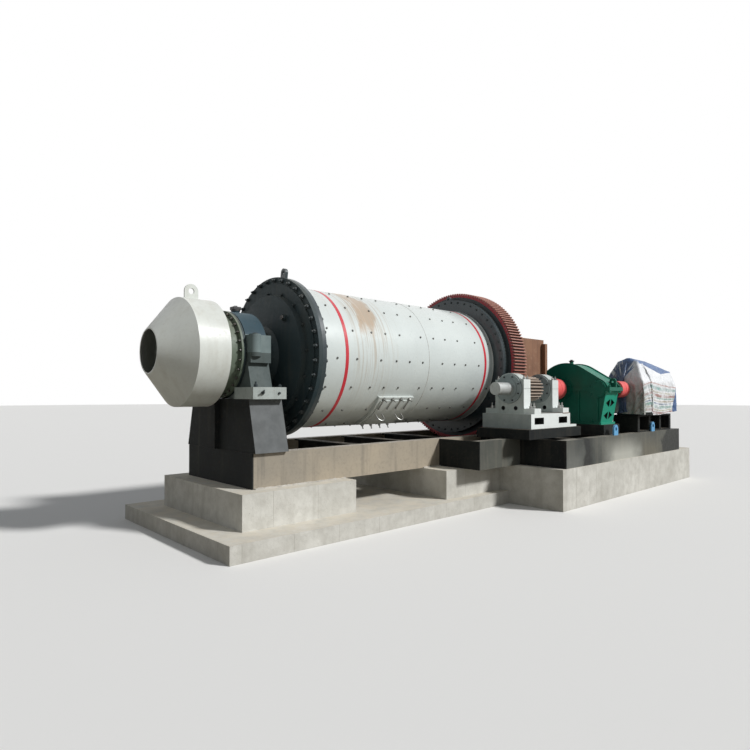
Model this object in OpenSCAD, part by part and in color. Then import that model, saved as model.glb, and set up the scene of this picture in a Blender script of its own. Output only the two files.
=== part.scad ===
// Ball mill of 1.83 m bore with its feeder, girth gear drive, skid and concrete foundation.
// X runs along the mill's axis from the feed end to the discharge end, Z is up.
// The origin is on the ground, under the mill's axis, at the feed flange's outer face.

/* [Levels] */
// Height of the mill's axis above the top of the steel skid
axis_over_skid = 1145; // [1120:5:1300]
// Height of the low concrete slab
slab_h = 190; // [120:10:260]
// Height of the plinth tops above the ground
plinth_top = 585; // [500:5:600]
// Height of the steel skid beams
skid_h = 400; // [320:10:410]
// Height of the bearing base plates
base_plate_h = 136; // [100:2:150]
// Depth of the bearing housings' feet below the mill's axis
bearing_drop = 404; // [400:1:410]

/* [Drum] */
// Outer radius of the shell
shell_r = 935; // [900:5:940]
// Thickness of the shell plate
shell_wall = 20; // [14:1:30]
// Length of the shell between its two flange faces
shell_len = 3558; // [3400:10:3600]
// Radius of the feed-end flange
feed_flange_r = 1033; // [1010:1:1040]
// Thickness of each feed-end flange
feed_flange_t = 57; // [40:1:70]
// Radius of the discharge-end flange
disch_flange_r = 1136; // [1110:1:1140]
// Thickness of each discharge-end flange
disch_flange_t = 65; // [50:1:75]
// Radius of the trunnion journals
journal_r = 350; // [320:5:360]
// Radius of the hole through the trunnions
trunnion_bore_r = 250; // [200:5:270]
// How far the heads bulge outward at the trunnion root
head_bulge = 133; // [120:1:150]
// Thickness of the head castings
head_t = 75; // [60:1:90]

/* [Manhole] */
// Distance from the feed flange to the manhole cover's near edge
cover_x = 1170; // [1000:10:1400]
// Length of the manhole cover along the shell
cover_len = 670; // [500:10:720]
// Angle that the cover wraps round the shell
cover_arc = 37; // [28:1:42]
// Angle of the cover's middle below the horizontal, on the front side
cover_angle = 51.5; // [40:0.5:60]
// Thickness of the cover plate
cover_t = 38; // [25:1:50]

/* [Girth gear] */
// Module of the girth gear and pinion
gear_module = 16; // [15.8:0.1:16.2]
// Number of teeth of the girth gear
gear_teeth = 156; // [152:2:158]
// Number of teeth of the pinion
pinion_teeth = 22; // [20:1:23]
// Face width of the girth gear
gear_w = 342; // [300:2:360]
// Depth of the gear rim under the teeth
rim_t = 48; // [35:1:50]
// Thickness of the gear's bolting web
web_t = 60; // [40:1:80]
// Radius of the hole in the gear's web
web_bore_r = 965; // [955:5:985]
// Play between the meshing teeth, measured along the pitch circle
mesh_backlash = 2; // [1.2:0.1:3]

/* [Feeder] */
// Radius of the feeder's drum
feeder_r = 632; // [600:2:650]
// Length of the feeder's drum
feeder_drum_len = 374; // [320:2:400]
// Length of the feeder's cone
feeder_cone_len = 310; // [250:2:340]
// Radius of the feeder's mouth
feeder_mouth_r = 260; // [230:2:290]
// Thickness of the feeder's plate
feeder_wall = 16; // [10:1:22]
// Radius of the bolted rings between feeder and trunnion
ring_r = 530; // [510:2:530]
// Thickness of each bolted ring
ring_t = 26; // [20:1:30]
// Length of the neck between the feeder and its bolted ring
neck_len = 188; // [170:2:210]
// Radius of that neck
neck_r = 475; // [460:5:490]

/* [Main bearings] */
// Distance from the feed flange face to the middle of the feed bearing
feed_bearing_x = 520; // [505:1:540]
// Distance from the discharge flange face to the middle of the discharge bearing
disch_bearing_x = 720; // [700:1:760]
// Width of the bearing housings along the axis
bearing_w = 280; // [270:2:300]
// Outer radius of the bearing caps
cap_r = 528; // [515:1:540]
// Length of the bearing base plates along the axis
base_plate_x = 440; // [400:5:450]
// Width of the bearing base plates across the mill
base_plate_y = 1600; // [1500:10:1650]
// Radial play of the journals in their bearings
journal_play = 0.3; // [0.1:0.1:0.8]
// Width of the pedestals at their foot, across the mill
pedestal_foot_y = 1700; // [1620:10:1760]
// Width of the pedestals at their top, across the mill
pedestal_top_y = 1400; // [1300:10:1500]

/* [Skid and drive frame] */
// Distance between the outer faces of the two skid beams
skid_y = 1600; // [1500:10:1640]
// Width of the beams' flanges
beam_flange = 150; // [100:5:180]
// Thickness of the beams' webs and flanges
beam_t = 18; // [12:1:24]
// How far the skid starts before the feed flange
skid_feed_x = 750; // [740:5:800]
// How far the skid runs past the discharge bearing's middle
skid_disch_x = 1480; // [1460:10:1600]
// Distance from the mill's axis to the drive frame's outer face
drive_y = 2280; // [2250:5:2320]
// Distance from the drive frame's near end to the middle between the pinion's blocks
drive_lead = 464; // [440:2:480]
// How far the drive frame runs on past the motor's far end
drive_tail = 526; // [480:2:600]
// Distance from the mill's axis to the drive frame's inner rail
inner_rail_y = 1000; // [970:5:1050]
// Distance from the feed flange to the near end of the short rail
short_rail_x = 2400; // [2300:10:2700]
// Distance from the mill's axis to the short rail
short_rail_y = 1530; // [1450:10:1600]
// Height of the packing bases that lie on the drive frame
packing_h = 145; // [110:5:160]

/* [Concrete] */
// Distance that the low slab starts before the feed flange
slab_feed_x = 1350; // [1200:10:1500]
// Half width of the low slab
slab_half_y = 1410; // [1300:10:1500]
// Distance that the feed plinth starts before the feed flange
feed_plinth_x = 990; // [900:10:1100]
// Length of the feed plinth
feed_plinth_len = 1580; // [1400:10:1800]
// Half width of the feed plinth
feed_plinth_half_y = 1010; // [950:10:1100]
// Distance from the feed flange to the discharge plinth
disch_plinth_x = 2030; // [1900:10:2200]
// Half width of the discharge plinth
disch_plinth_half_y = 1250; // [1200:10:1300]
// How far the drive plinth starts before the drive frame
plinth_margin_x = 120; // [80:10:200]
// How far the drive plinth runs on past the drive frame's far end
plinth_end_x = 490; // [200:10:600]
// How far the drive plinth sticks out in front of the drive frame
plinth_margin_y = 20; // [10:5:80]

/* [Pinion] */
// Depth of the pinion's axis below the mill's axis
pinion_drop = 400; // [380:5:410]
// Face width of the pinion
pinion_w = 360; // [340:2:370]
// Radius of the pinion shaft
pinion_shaft_r = 95; // [80:1:100]
// Thickness of the pinion's bearing blocks
block_w = 180; // [160:2:190]
// Width of the bearing blocks across the shaft
block_y = 510; // [480:5:520]
// Width of the bearing blocks' feet across the shaft
block_foot_y = 870; // [840:5:880]
// Height of the feet of the bearing blocks
block_foot_h = 80; // [60:2:90]
// Height of the cast holes above the blocks' underside
block_hole_rise = 83; // [70:1:100]
// Clear distance between the two bearing blocks
block_gap = 640; // [620:5:660]
// How far the shaft sticks out of each bearing block
shaft_stub = 370; // [340:5:380]
// Height of the pinion base above its packing base
pinion_base_h = 220; // [180:5:240]
// Radius of the big drive coupling
coupling_r = 175; // [160:1:185]
// Length of the big drive coupling
coupling_len = 290; // [260:5:300]
// Clear length of shaft on each side of the big coupling
coupling_gap = 125; // [110:5:140]
// Radial play of the drive shafts in their bearings
shaft_play = 0.3; // [0.1:0.1:0.6]

/* [Gear reducer] */
// Distance between the reducer's output and input shafts
reducer_centres = 650; // [620:5:680]
// Width of the reducer's case along the shafts
reducer_w = 440; // [400:5:460]
// Radius of the hump over the big gear
reducer_hump_r = 530; // [510:5:550]
// From the output shaft to the case's far end
reducer_far = 255; // [240:5:270]
// How far the flanges stick out at the case's far end
reducer_far_flange = 110; // [100:5:120]
// Radius of the case round the small gear
reducer_nose_r = 150; // [130:5:160]
// Radius of the bearing covers on the output shaft
big_cover_r = 200; // [180:5:220]
// Radius of the bearing covers on the input shaft
small_cover_r = 145; // [130:5:150]
// Thickness of the reducer's case flanges
reducer_flange_t = 30; // [24:1:36]
// How far the reducer's flanges stick out from its case
reducer_flange_out = 60; // [40:2:70]
// Height of the reducer's shafts above its feet
reducer_shaft_h = 580; // [570:5:600]
// Radius of the motor coupling
motor_coupling_r = 140; // [120:1:150]
// Length of the motor coupling
motor_coupling_len = 270; // [240:5:290]
// Clear length of shaft on each side of the motor coupling
motor_coupling_gap = 190; // [170:5:210]

/* [Motor] */
// Radius of the motor's frame
motor_r = 300; // [280:5:320]
// Length of the motor's frame
motor_len = 1180; // [1100:10:1250]
// Height of the motor's shaft above its feet
motor_shaft_h = 450; // [430:5:470]
// Radius of the motor's shaft
motor_shaft_r = 55; // [45:1:60]
// Thickness of the plain soft body that stands for the tarpaulin
tarp_t = 30; // [20:1:40]

/* [Discharge hood] */
// Length of the discharge hood along the axis
hood_len = 900; // [800:10:950]
// Half width of the discharge hood
hood_half_y = 500; // [470:5:560]
// Height of the hood's top above the mill's axis
hood_rise = 560; // [500:10:620]
// Depth of the hood below the mill's axis
hood_drop = 620; // [560:10:700]
// Thickness of the hood's plates
hood_wall = 12; // [8:1:16]
// Width of the hood's legs
hood_leg = 80; // [60:5:90]
// How far the trunnion's end stands past the discharge bearing's middle
disch_end_out = 580; // [560:5:600]
// How far the trunnion's end reaches into the hood
hood_lap = 60; // [40:5:90]

/* [Hidden] */
$fn = 96;

tiny = 0.01;
eps = 1;

// Gap between the turning ring and the fixed bearing
ring_clearance = 12;

// Places along the axis
joint_x1 = feed_flange_t;
joint_x2 = feed_flange_t + shell_len;
disch_face_x = joint_x2 + disch_flange_t;
feed_bearing_mid = -feed_bearing_x;
disch_bearing_mid = disch_face_x + disch_bearing_x;
ring_x = feed_bearing_mid - bearing_w / 2 - ring_clearance;
neck_x = ring_x - 2 * ring_t;
feeder_back_x = neck_x - neck_len;
cone_x = feeder_back_x - feeder_drum_len;
mouth_x = cone_x - feeder_cone_len;
disch_end_x = disch_bearing_mid + disch_end_out;
hood_x = disch_end_x - hood_lap;

// Levels
skid_top = plinth_top + skid_h;
axis_h = skid_top + axis_over_skid;
bearing_foot_z = axis_h - bearing_drop;
pedestal_top = bearing_foot_z - base_plate_h;
packing_top = skid_top + packing_h;

// Gear geometry
gear_pitch_r = gear_module * gear_teeth / 2;
pinion_pitch_r = gear_module * pinion_teeth / 2;
root_depth = 1.25;
gear_tip_r = gear_pitch_r + gear_module;
gear_root_r = gear_pitch_r - root_depth * gear_module;
mesh_distance = gear_pitch_r + pinion_pitch_r;
pinion_y = -sqrt(mesh_distance * mesh_distance - pinion_drop * pinion_drop);
pinion_z = axis_h - pinion_drop;
mesh_angle = asin(pinion_drop / mesh_distance);
rim_setback = 5;
gear_x = disch_face_x + rim_setback;
gear_mid = gear_x + gear_w / 2;
pressure_angle = 20;

// Drive train places
block_shift = 18;
block_mid = gear_mid + block_shift;
front_block_x = block_mid - block_gap / 2 - block_w;
rear_block_x = block_mid + block_gap / 2;
shaft_x0 = front_block_x - shaft_stub;
shaft_x1 = rear_block_x + block_w + shaft_stub;
pinion_base_top = packing_top + pinion_base_h;
coupling_x = rear_block_x + block_w + coupling_gap;
reducer_x = coupling_x + coupling_len + coupling_gap;
input_y = pinion_y - reducer_centres;
reducer_foot_z = pinion_z - reducer_shaft_h;
motor_coupling_x = reducer_x + reducer_w + motor_coupling_gap;
motor_x = motor_coupling_x + motor_coupling_len + motor_coupling_gap;
motor_end_x = motor_x + motor_len;
motor_foot_z = pinion_z - motor_shaft_h;
drive_x = block_mid - drive_lead;
drive_len = motor_end_x + drive_tail - drive_x;

// Turns a profile drawn in Y and Z so that it is extruded along X
module along_x(x0 = 0, y0 = 0, z0 = 0) {
    translate([x0, y0, z0]) rotate([90, 0, 90]) children();
}

// A box given by its low and high corners
module block(low, high) {
    translate(low) cube([high[0] - low[0], high[1] - low[1], high[2] - low[2]]);
}

// A round bar along X
module bar_x(x0, x1, r, y = 0, z = 0) {
    along_x(x0, y, z) cylinder(h = x1 - x0, r = r);
}

// A tube along X
module tube_x(x0, x1, r_out, r_in, y = 0, z = 0) {
    difference() {
        bar_x(x0, x1, r_out, y, z);
        bar_x(x0 - eps, x1 + eps, r_in, y, z);
    }
}

// Concrete

module foundation_slab() {
    color("lightgray")
        block([-slab_feed_x, -slab_half_y, 0], [drive_x - plinth_margin_x, slab_half_y, slab_h]);
}

module feed_plinth() {
    color("lightgray")
        block([-feed_plinth_x, -feed_plinth_half_y, slab_h],
              [feed_plinth_len - feed_plinth_x, feed_plinth_half_y, plinth_top]);
}

plinth_end_margin = 100;
disch_plinth_x1 = disch_bearing_mid + skid_disch_x + plinth_end_margin;

module discharge_plinth() {
    color("lightgray") difference() {
        block([disch_plinth_x, -disch_plinth_half_y, 0],
              [disch_plinth_x1, disch_plinth_half_y, plinth_top]);
        block([disch_plinth_x - eps, -disch_plinth_half_y - eps, -eps],
              [drive_x - plinth_margin_x, disch_plinth_half_y + eps, slab_h]);
    }
}

module drive_plinth() {
    color("lightgray")
        block([drive_x - plinth_margin_x, -drive_y - plinth_margin_y, 0],
              [drive_x + drive_len + plinth_end_x, -disch_plinth_half_y, plinth_top]);
}

// Steel skid

// A channel beam along X whose web faces outward; side is -1 for a web on the -Y side
module channel_x(x0, x1, y_web, side, z0, h) {
    low_y = side < 0 ? y_web : y_web - beam_flange;
    difference() {
        block([x0, low_y, z0], [x1, low_y + beam_flange, z0 + h]);
        block([x0 - eps, side < 0 ? y_web + beam_t : low_y - eps, z0 + beam_t],
              [x1 + eps, side < 0 ? low_y + beam_flange + eps : y_web - beam_t, z0 + h - beam_t]);
    }
}

// An I beam along Y between two places
module cross_beam(x_mid, y0, y1, z0, h) {
    translate([0, y0, 0]) rotate([-90, 0, 0]) translate([x_mid, -z0 - h, 0])
        linear_extrude(y1 - y0) union() {
            translate([-beam_flange / 2, 0]) square([beam_flange, beam_t]);
            translate([-beam_flange / 2, h - beam_t]) square([beam_flange, beam_t]);
            translate([-beam_t / 2, 0]) square([beam_t, h]);
        }
}

skid_x0 = -skid_feed_x;
skid_x1 = disch_bearing_mid + skid_disch_x;

module skid_beam_front() {
    color("#24282a") channel_x(skid_x0 + beam_t, skid_x1, -skid_y / 2, -1, plinth_top, skid_h);
}

module skid_beam_back() {
    color("#24282a") channel_x(skid_x0 + beam_t, skid_x1, skid_y / 2, 1, plinth_top, skid_h);
}

// Middles of the skid's cross beams: under the bearings, along the drum and under the hood
under_bearing = 200;
cross_x = [feed_bearing_mid + under_bearing, shell_len * 0.25, shell_len * 0.5, shell_len * 0.75,
           disch_bearing_mid - under_bearing, disch_bearing_mid + under_bearing,
           hood_x + hood_leg / 2, hood_x + hood_len - hood_leg / 2];

module skid_cross_beams() {
    inner_y = skid_y / 2 - beam_flange;
    color("#24282a") {
        block([skid_x0, -skid_y / 2, plinth_top], [skid_x0 + beam_t, skid_y / 2, skid_top]);
        for (x = cross_x)
            cross_beam(x, -inner_y, inner_y, plinth_top, skid_h);
    }
}

// Drive frame

module drive_frame_rails() {
    color("#1d2123") {
        channel_x(drive_x + beam_t, drive_x + drive_len, -drive_y, -1, plinth_top, skid_h);
        channel_x(drive_x + beam_t, drive_x + drive_len, -inner_rail_y, 1, plinth_top, skid_h);
        channel_x(short_rail_x + beam_t, drive_x - tiny, -short_rail_y, -1, plinth_top, skid_h);
    }
}

// Middles of the drive frame's cross beams: under the blocks, the reducer and the motor
drive_cross_x = [block_mid, reducer_x, reducer_x + reducer_w, motor_x + motor_len / 4,
                 motor_end_x];

module drive_frame_cross_beams() {
    color("#1d2123") {
        block([drive_x, -drive_y, plinth_top], [drive_x + beam_t, -skid_y / 2, skid_top]);
        block([short_rail_x, -short_rail_y, plinth_top],
              [short_rail_x + beam_t, -skid_y / 2, skid_top]);
        for (x = drive_cross_x)
            cross_beam(x, -drive_y + beam_flange, -inner_rail_y - beam_flange, plinth_top, skid_h);
    }
}

// Main bearings

// A fabricated pedestal that narrows upward, with a rib on its outer face
module pedestal(x_mid, rib_side) {
    half_x = base_plate_x / 2;
    rib_t = 24;
    rib_out = 60;
    rib_gap = 30;
    rib_top = min(pedestal_top, axis_h - ring_r - rib_gap);
    along_x(x_mid - half_x) linear_extrude(base_plate_x)
        polygon([[-pedestal_foot_y / 2, skid_top], [pedestal_foot_y / 2, skid_top],
                 [pedestal_top_y / 2, pedestal_top], [-pedestal_top_y / 2, pedestal_top]]);
    block([rib_side < 0 ? x_mid - half_x - rib_out : x_mid + half_x - tiny, -rib_t / 2, skid_top],
          [rib_side < 0 ? x_mid - half_x + tiny : x_mid + half_x + rib_out, rib_t / 2, rib_top]);
}

// The base plate has a notch on its outer side, which the turning ring dips into
module bearing_base(x_mid, side) {
    notch_margin = 37;
    notch_y = sqrt(pow(ring_r, 2) - pow(bearing_drop, 2)) + notch_margin;
    half_x = base_plate_x / 2;
    difference() {
        block([x_mid - half_x, -base_plate_y / 2, pedestal_top],
              [x_mid + half_x, base_plate_y / 2, bearing_foot_z]);
        block([side < 0 ? x_mid - half_x - eps : x_mid + bearing_w / 2, -notch_y, pedestal_top - eps],
              [side < 0 ? x_mid - bearing_w / 2 : x_mid + half_x + eps, notch_y, bearing_foot_z + eps]);
    }
}

// Bearing housing: its foot and the bolt bosses at its sides
housing_foot_y = 620;
boss_in = 440;
boss_out = 600;
boss_back = 60;
boss_x = 270;
boss_rise = 205;
boss_fall = 119;
bolt_boss_r = 68;
bolt_boss_out = 50;
bolt_boss_rise = 213;
bolt_boss_fall = 47;

// A flat ear on both sides of the bearing, with a round boss for the long bolt at its outer end
module bearing_ears(x_mid, side, ear_z0, ear_z1, bolt_z0, bolt_z1) {
    for (s = [-1, 1]) {
        block([x_mid - boss_x / 2, s < 0 ? -boss_out : boss_in, axis_h + ear_z0],
              [x_mid + boss_x / 2, s < 0 ? -boss_in : boss_out, axis_h + ear_z1]);
        translate([x_mid + side * (boss_x / 2 - bolt_boss_r),
                   s * (boss_out + bolt_boss_out - bolt_boss_r), axis_h + bolt_z0])
            cylinder(h = bolt_z1 - bolt_z0, r = bolt_boss_r);
    }
}

module bearing_housing(x_mid, side) {
    difference() {
        union() {
            along_x(x_mid - bearing_w / 2) linear_extrude(bearing_w)
                polygon([[-housing_foot_y, bearing_foot_z], [housing_foot_y, bearing_foot_z],
                         [boss_out - boss_back, axis_h - boss_fall],
                         [boss_out - boss_back, axis_h], [-boss_out + boss_back, axis_h],
                         [-boss_out + boss_back, axis_h - boss_fall]]);
            bearing_ears(x_mid, side, -boss_fall, 0, -bolt_boss_fall, 0);
        }
        bar_x(x_mid - bearing_w, x_mid + bearing_w, journal_r + journal_play, 0, axis_h);
    }
}

// Oil filler on the bearing cap
filler_r = 50;
filler_h = 27;

module bearing_cap(x_mid, side) {
    difference() {
        union() {
            intersection() {
                bar_x(x_mid - bearing_w / 2, x_mid + bearing_w / 2, cap_r, 0, axis_h);
                block([x_mid - bearing_w, -cap_r - eps, axis_h],
                      [x_mid + bearing_w, cap_r + eps, axis_h + cap_r + eps]);
            }
            bearing_ears(x_mid, side, 0, boss_rise, 0, bolt_boss_rise);
            translate([x_mid, 0, axis_h + cap_r - filler_r])
                cylinder(h = filler_r + filler_h, r = filler_r);
        }
        bar_x(x_mid - bearing_w, x_mid + bearing_w, journal_r + journal_play, 0, axis_h);
    }
}

module feed_pedestal() { color("#1d2123") pedestal(feed_bearing_mid, -1); }
module discharge_pedestal() { color("#1d2123") pedestal(disch_bearing_mid, 1); }
module feed_bearing_base() { color("#8a9290") bearing_base(feed_bearing_mid, -1); }
module discharge_bearing_base() { color("#8a9290") bearing_base(disch_bearing_mid, 1); }
module feed_bearing_housing() { color("#6c7a7c") bearing_housing(feed_bearing_mid, -1); }
module discharge_bearing_housing() { color("#6c7a7c") bearing_housing(disch_bearing_mid, 1); }
module feed_bearing_cap() { color("#4c5f70") bearing_cap(feed_bearing_mid, -1); }
module discharge_bearing_cap() { color("#4c5f70") bearing_cap(disch_bearing_mid, 1); }

// Drum

// Places children on the shell's outside, with local Z pointing out of the shell
module on_drum(x, angle_below, r) {
    translate([x, 0, axis_h]) rotate([90 + angle_below, 0, 0]) translate([0, 0, r]) children();
}

// A solid of revolution about the mill's axis, from points given as radius and X
module turned(points) {
    along_x(0, 0, axis_h) rotate_extrude($fn = 180) polygon(points);
}

// Manhole opening, and how deep the lifting eyes are let into their flanges
hatch_len = 430;
hatch_w = 340;
eye_sunk = 8;
feed_eye_w = 110;
feed_eye_h = 130;
feed_eye_a = 9;
disch_eye_w = 90;
disch_eye_h = 70;

module shell() {
    color("#dde3e0") difference() {
        turned([[shell_r - shell_wall, joint_x1], [feed_flange_r, joint_x1],
                [feed_flange_r, joint_x1 + feed_flange_t], [shell_r, joint_x1 + feed_flange_t],
                [shell_r, joint_x2 - feed_flange_t], [disch_flange_r, joint_x2 - feed_flange_t],
                [disch_flange_r, joint_x2], [shell_r - shell_wall, joint_x2]]);
        on_drum(cover_x + cover_len / 2, cover_angle, shell_r - 3 * shell_wall)
            translate([-hatch_len / 2, -hatch_w / 2, 0]) cube([hatch_len, hatch_w, 6 * shell_wall]);
    }
    color("#2d383d") {
        translate([joint_x1 + feed_flange_t / 2, 0, axis_h]) rotate([feed_eye_a, 0, 0])
            translate([0, 0, feed_flange_r - eye_sunk]) rotate([0, 0, 90])
                lifting_plate(feed_eye_w, feed_eye_h, 0.36 * feed_eye_w, 0.24 * feed_eye_w);
        translate([joint_x2 - disch_flange_t / 2, 0, axis_h + disch_flange_r - eye_sunk])
            rotate([0, 0, 90]) lifting_plate(disch_eye_w, disch_eye_h, 0.4 * disch_eye_w, 0.22 * disch_eye_w);
    }
}

// Half of a head's outline, as radius and distance outward from the shell joint
plate_r = 804;
step_r = 949;
step_out = 15;
rim_out = 85;
rim_slope = 14;
root_fillet = 35;
neck_taper = 57;
root_r = journal_r + root_fillet;
function head_points(flange_t, end_out) = [
    [trunnion_bore_r, end_out], [journal_r, end_out],
    [journal_r, flange_t + head_bulge + neck_taper], [root_r, flange_t + head_bulge],
    [plate_r - rim_slope, flange_t + rim_out], [plate_r, flange_t + step_out],
    [step_r, flange_t + step_out], [step_r, flange_t]];
function head_inside(flange_t) = [
    [shell_r - shell_wall - step_out, 0],
    [plate_r - root_fillet, flange_t + rim_out - head_t],
    [root_r, flange_t + head_bulge - head_t - step_out],
    [trunnion_bore_r, flange_t + head_bulge - head_t]];

// Screwed plug on the feed head
plug_mid_r = 647;
plug_r = 42;
plug_out = 35;
plug_a = 45;

module feed_head() {
    end_out = feed_flange_t - ring_x;
    outline = concat(head_points(feed_flange_t, end_out),
                     [[feed_flange_r, feed_flange_t], [feed_flange_r, 0]],
                     head_inside(feed_flange_t));
    color("#2d383d") {
        turned([for (p = outline) [p[0], joint_x1 - p[1]]]);
        tube_x(ring_x - ring_t, ring_x + tiny, ring_r, trunnion_bore_r, 0, axis_h);
        bar_x(-rim_out - plug_out - step_out, -rim_out + step_out, plug_r,
              -plug_mid_r * cos(plug_a), axis_h + plug_mid_r * sin(plug_a));
    }
}

module discharge_head() {
    end_out = disch_end_x - joint_x2;
    outline = concat(head_points(disch_flange_t, end_out),
                     [[disch_flange_r, disch_flange_t], [disch_flange_r, 0]],
                     head_inside(disch_flange_t));
    color("#2d383d") turned([for (p = outline) [p[0], joint_x2 + p[1]]]);
}

// A curved plate that lies on the shell, between two angles below the horizontal
module curved_plate(x0, x1, r0, t, a0, a1) {
    translate([x0, 0, axis_h]) rotate([a0, 0, 0])
        rotate([90, 0, 90]) rotate([0, 0, 180])
            rotate_extrude(angle = a1 - a0, $fn = 180)
                translate([r0, 0]) square([t, x1 - x0]);
}

cover_play = 0.3;
cover_lip = 45;
lip_t = 14;

module manhole_cover() {
    r0 = shell_r + cover_play;
    lip_a = cover_lip / shell_r * 180 / PI;
    color("#dde3e0") {
        curved_plate(cover_x, cover_x + cover_len, r0, cover_t,
                     cover_angle - cover_arc / 2, cover_angle + cover_arc / 2);
        curved_plate(cover_x + cover_lip, cover_x + cover_len - cover_lip, r0, cover_t + lip_t,
                     cover_angle - cover_arc / 2 + lip_a, cover_angle + cover_arc / 2 - lip_a);
    }
}

// Girth gear and pinion

function involute(a) = tan(a) * 180 / PI - a;

// Half angle of a tooth at radius r
function tooth_half(r, pitch_r, teeth) =
    90 / teeth - mesh_backlash / 4 / pitch_r * 180 / PI
    + involute(pressure_angle)
    - involute(acos(min(1, pitch_r * cos(pressure_angle) / r)));

function polar(r, a) = [r * cos(a), r * sin(a)];

// Outline of a toothed wheel, with tooth 0 on the +X side of the drawing
function toothed_wheel(pitch_r, teeth) =
    let (radii = [pitch_r - root_depth * gear_module, pitch_r - root_depth / 2 * gear_module, pitch_r,
                  pitch_r + 0.5 * gear_module, pitch_r + gear_module],
         last = len(radii) - 1)
    [for (i = [0:teeth - 1], k = [0:2 * last + 1])
        let (n = k <= last ? k : 2 * last + 1 - k,
             side = k <= last ? -1 : 1)
        polar(radii[n], i * 360 / teeth + side * tooth_half(radii[n], pitch_r, teeth))];

// Bolting lugs where the gear's two halves meet
split_lug_r = 1145;
split_lug_w = 120;

module girth_gear() {
    rim_in = gear_root_r - rim_t;
    color("#9a4a44") {
        difference() {
            along_x(gear_x, 0, axis_h) rotate([0, 0, 180 + mesh_angle])
                linear_extrude(gear_w) polygon(toothed_wheel(gear_pitch_r, gear_teeth));
            bar_x(gear_x - eps, gear_x + gear_w + eps, rim_in, 0, axis_h);
        }
        tube_x(disch_face_x, disch_face_x + web_t, rim_in + rim_t / 4, web_bore_r, 0, axis_h);
        for (s = [-1, 1])
            block([disch_face_x + tiny, s < 0 ? -rim_in - rim_t / 4 : split_lug_r,
                   axis_h - split_lug_w / 2],
                  [gear_x + gear_w, s < 0 ? -split_lug_r : rim_in + rim_t / 4,
                   axis_h + split_lug_w / 2]);
    }
}

module pinion() {
    color("#7b6658") difference() {
        along_x(gear_mid - pinion_w / 2, pinion_y, pinion_z)
            rotate([0, 0, mesh_angle + 180 / pinion_teeth])
                linear_extrude(pinion_w) polygon(toothed_wheel(pinion_pitch_r, pinion_teeth));
        bar_x(gear_mid - pinion_w, gear_mid + pinion_w, pinion_shaft_r, pinion_y, pinion_z);
    }
}

module pinion_shaft() {
    color("#b9bfbd") bar_x(shaft_x0, shaft_x1, pinion_shaft_r, pinion_y, pinion_z);
}

// Bearing block of the pinion: a round housing between two shoulders on a long foot, with
// two cast holes and the line where its cap is split from its body
block_shoulder = 140;
block_round_r = 240;
block_hole_r = 32;
block_hole_y = 112;
split_w = 5;
split_depth = 8;

module pinion_block(x0) {
    h0 = pinion_base_top - pinion_z;
    difference() {
        along_x(x0, pinion_y, pinion_z) linear_extrude(block_w) union() {
            translate([-block_y / 2, h0]) square([block_y, block_shoulder - h0]);
            circle(r = block_round_r);
            translate([-block_foot_y / 2, h0]) square([block_foot_y, block_foot_h]);
        }
        bar_x(x0 - eps, x0 + block_w + eps, pinion_shaft_r + shaft_play, pinion_y, pinion_z);
        for (s = [-1, 1]) {
            bar_x(x0 - eps, x0 + block_w + eps, block_hole_r, pinion_y + s * block_hole_y,
                  pinion_base_top + block_hole_rise);
            block([x0 - eps, pinion_y + (s < 0 ? -block_y / 2 - eps : block_y / 2 - split_depth),
                   pinion_z - split_w / 2],
                  [x0 + block_w + eps,
                   pinion_y + (s < 0 ? -block_y / 2 + split_depth : block_y / 2 + eps),
                   pinion_z + split_w / 2]);
        }
    }
}

module pinion_block_front() { color("#c4cac8") pinion_block(front_block_x); }
module pinion_block_rear() { color("#c4cac8") pinion_block(rear_block_x); }

module pinion_block_covers() {
    cover_out = 24;
    cover_r = 222;
    gear_side_r = 185;
    ring_r = 148;
    ring_out = 12;
    bore_r = pinion_shaft_r + shaft_play;
    color("#c4cac8") {
        for (x = [front_block_x - cover_out, rear_block_x - cover_out, rear_block_x + block_w])
            tube_x(x, x + cover_out, cover_r, bore_r, pinion_y, pinion_z);
        tube_x(front_block_x + block_w, front_block_x + block_w + cover_out, gear_side_r, bore_r,
               pinion_y, pinion_z);
        for (x = [front_block_x, rear_block_x])
            tube_x(x - cover_out - ring_out, x - cover_out + eps, ring_r, bore_r,
                   pinion_y, pinion_z);
    }
}

// Cast base under the two blocks, with a pocket for the gear and two windows in its side
base_lead = 90;
base_tail = 40;
base_x0 = front_block_x - base_lead;
base_x1 = rear_block_x + block_w + base_tail;
base_half_y = block_foot_y / 2;
gear_clearance = 30;
window_len = 260;
window_deep = 250;
window_low = 65;
window_high = 165;

module pinion_base() {
    foot_t = 35;
    foot_out = 200;
    color("#d3d8d6") difference() {
        union() {
            block([base_x0, pinion_y - base_half_y, packing_top],
                  [base_x1, pinion_y + base_half_y, pinion_base_top]);
            block([base_x0, pinion_y - base_half_y, packing_top],
                  [base_x1 + foot_out, pinion_y + base_half_y, packing_top + foot_t]);
        }
        bar_x(gear_x - gear_clearance, gear_x + gear_w + gear_clearance,
              gear_tip_r + gear_clearance, 0, axis_h);
        for (x = [base_x0 + base_lead, base_x1 - base_lead - window_len])
            block([x, pinion_y - base_half_y - eps, packing_top + window_low],
                  [x + window_len, pinion_y - base_half_y + window_deep,
                   packing_top + window_high]);
    }
}

packing_lead = 150;
packing_tail = 240;
packing_side = 60;

module pinion_packing() {
    color("#1d2123")
        block([base_x0 - packing_lead, pinion_y - base_half_y - packing_side, skid_top],
              [base_x1 + packing_tail, pinion_y + base_half_y, packing_top]);
}

// Couplings, reducer and motor

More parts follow.
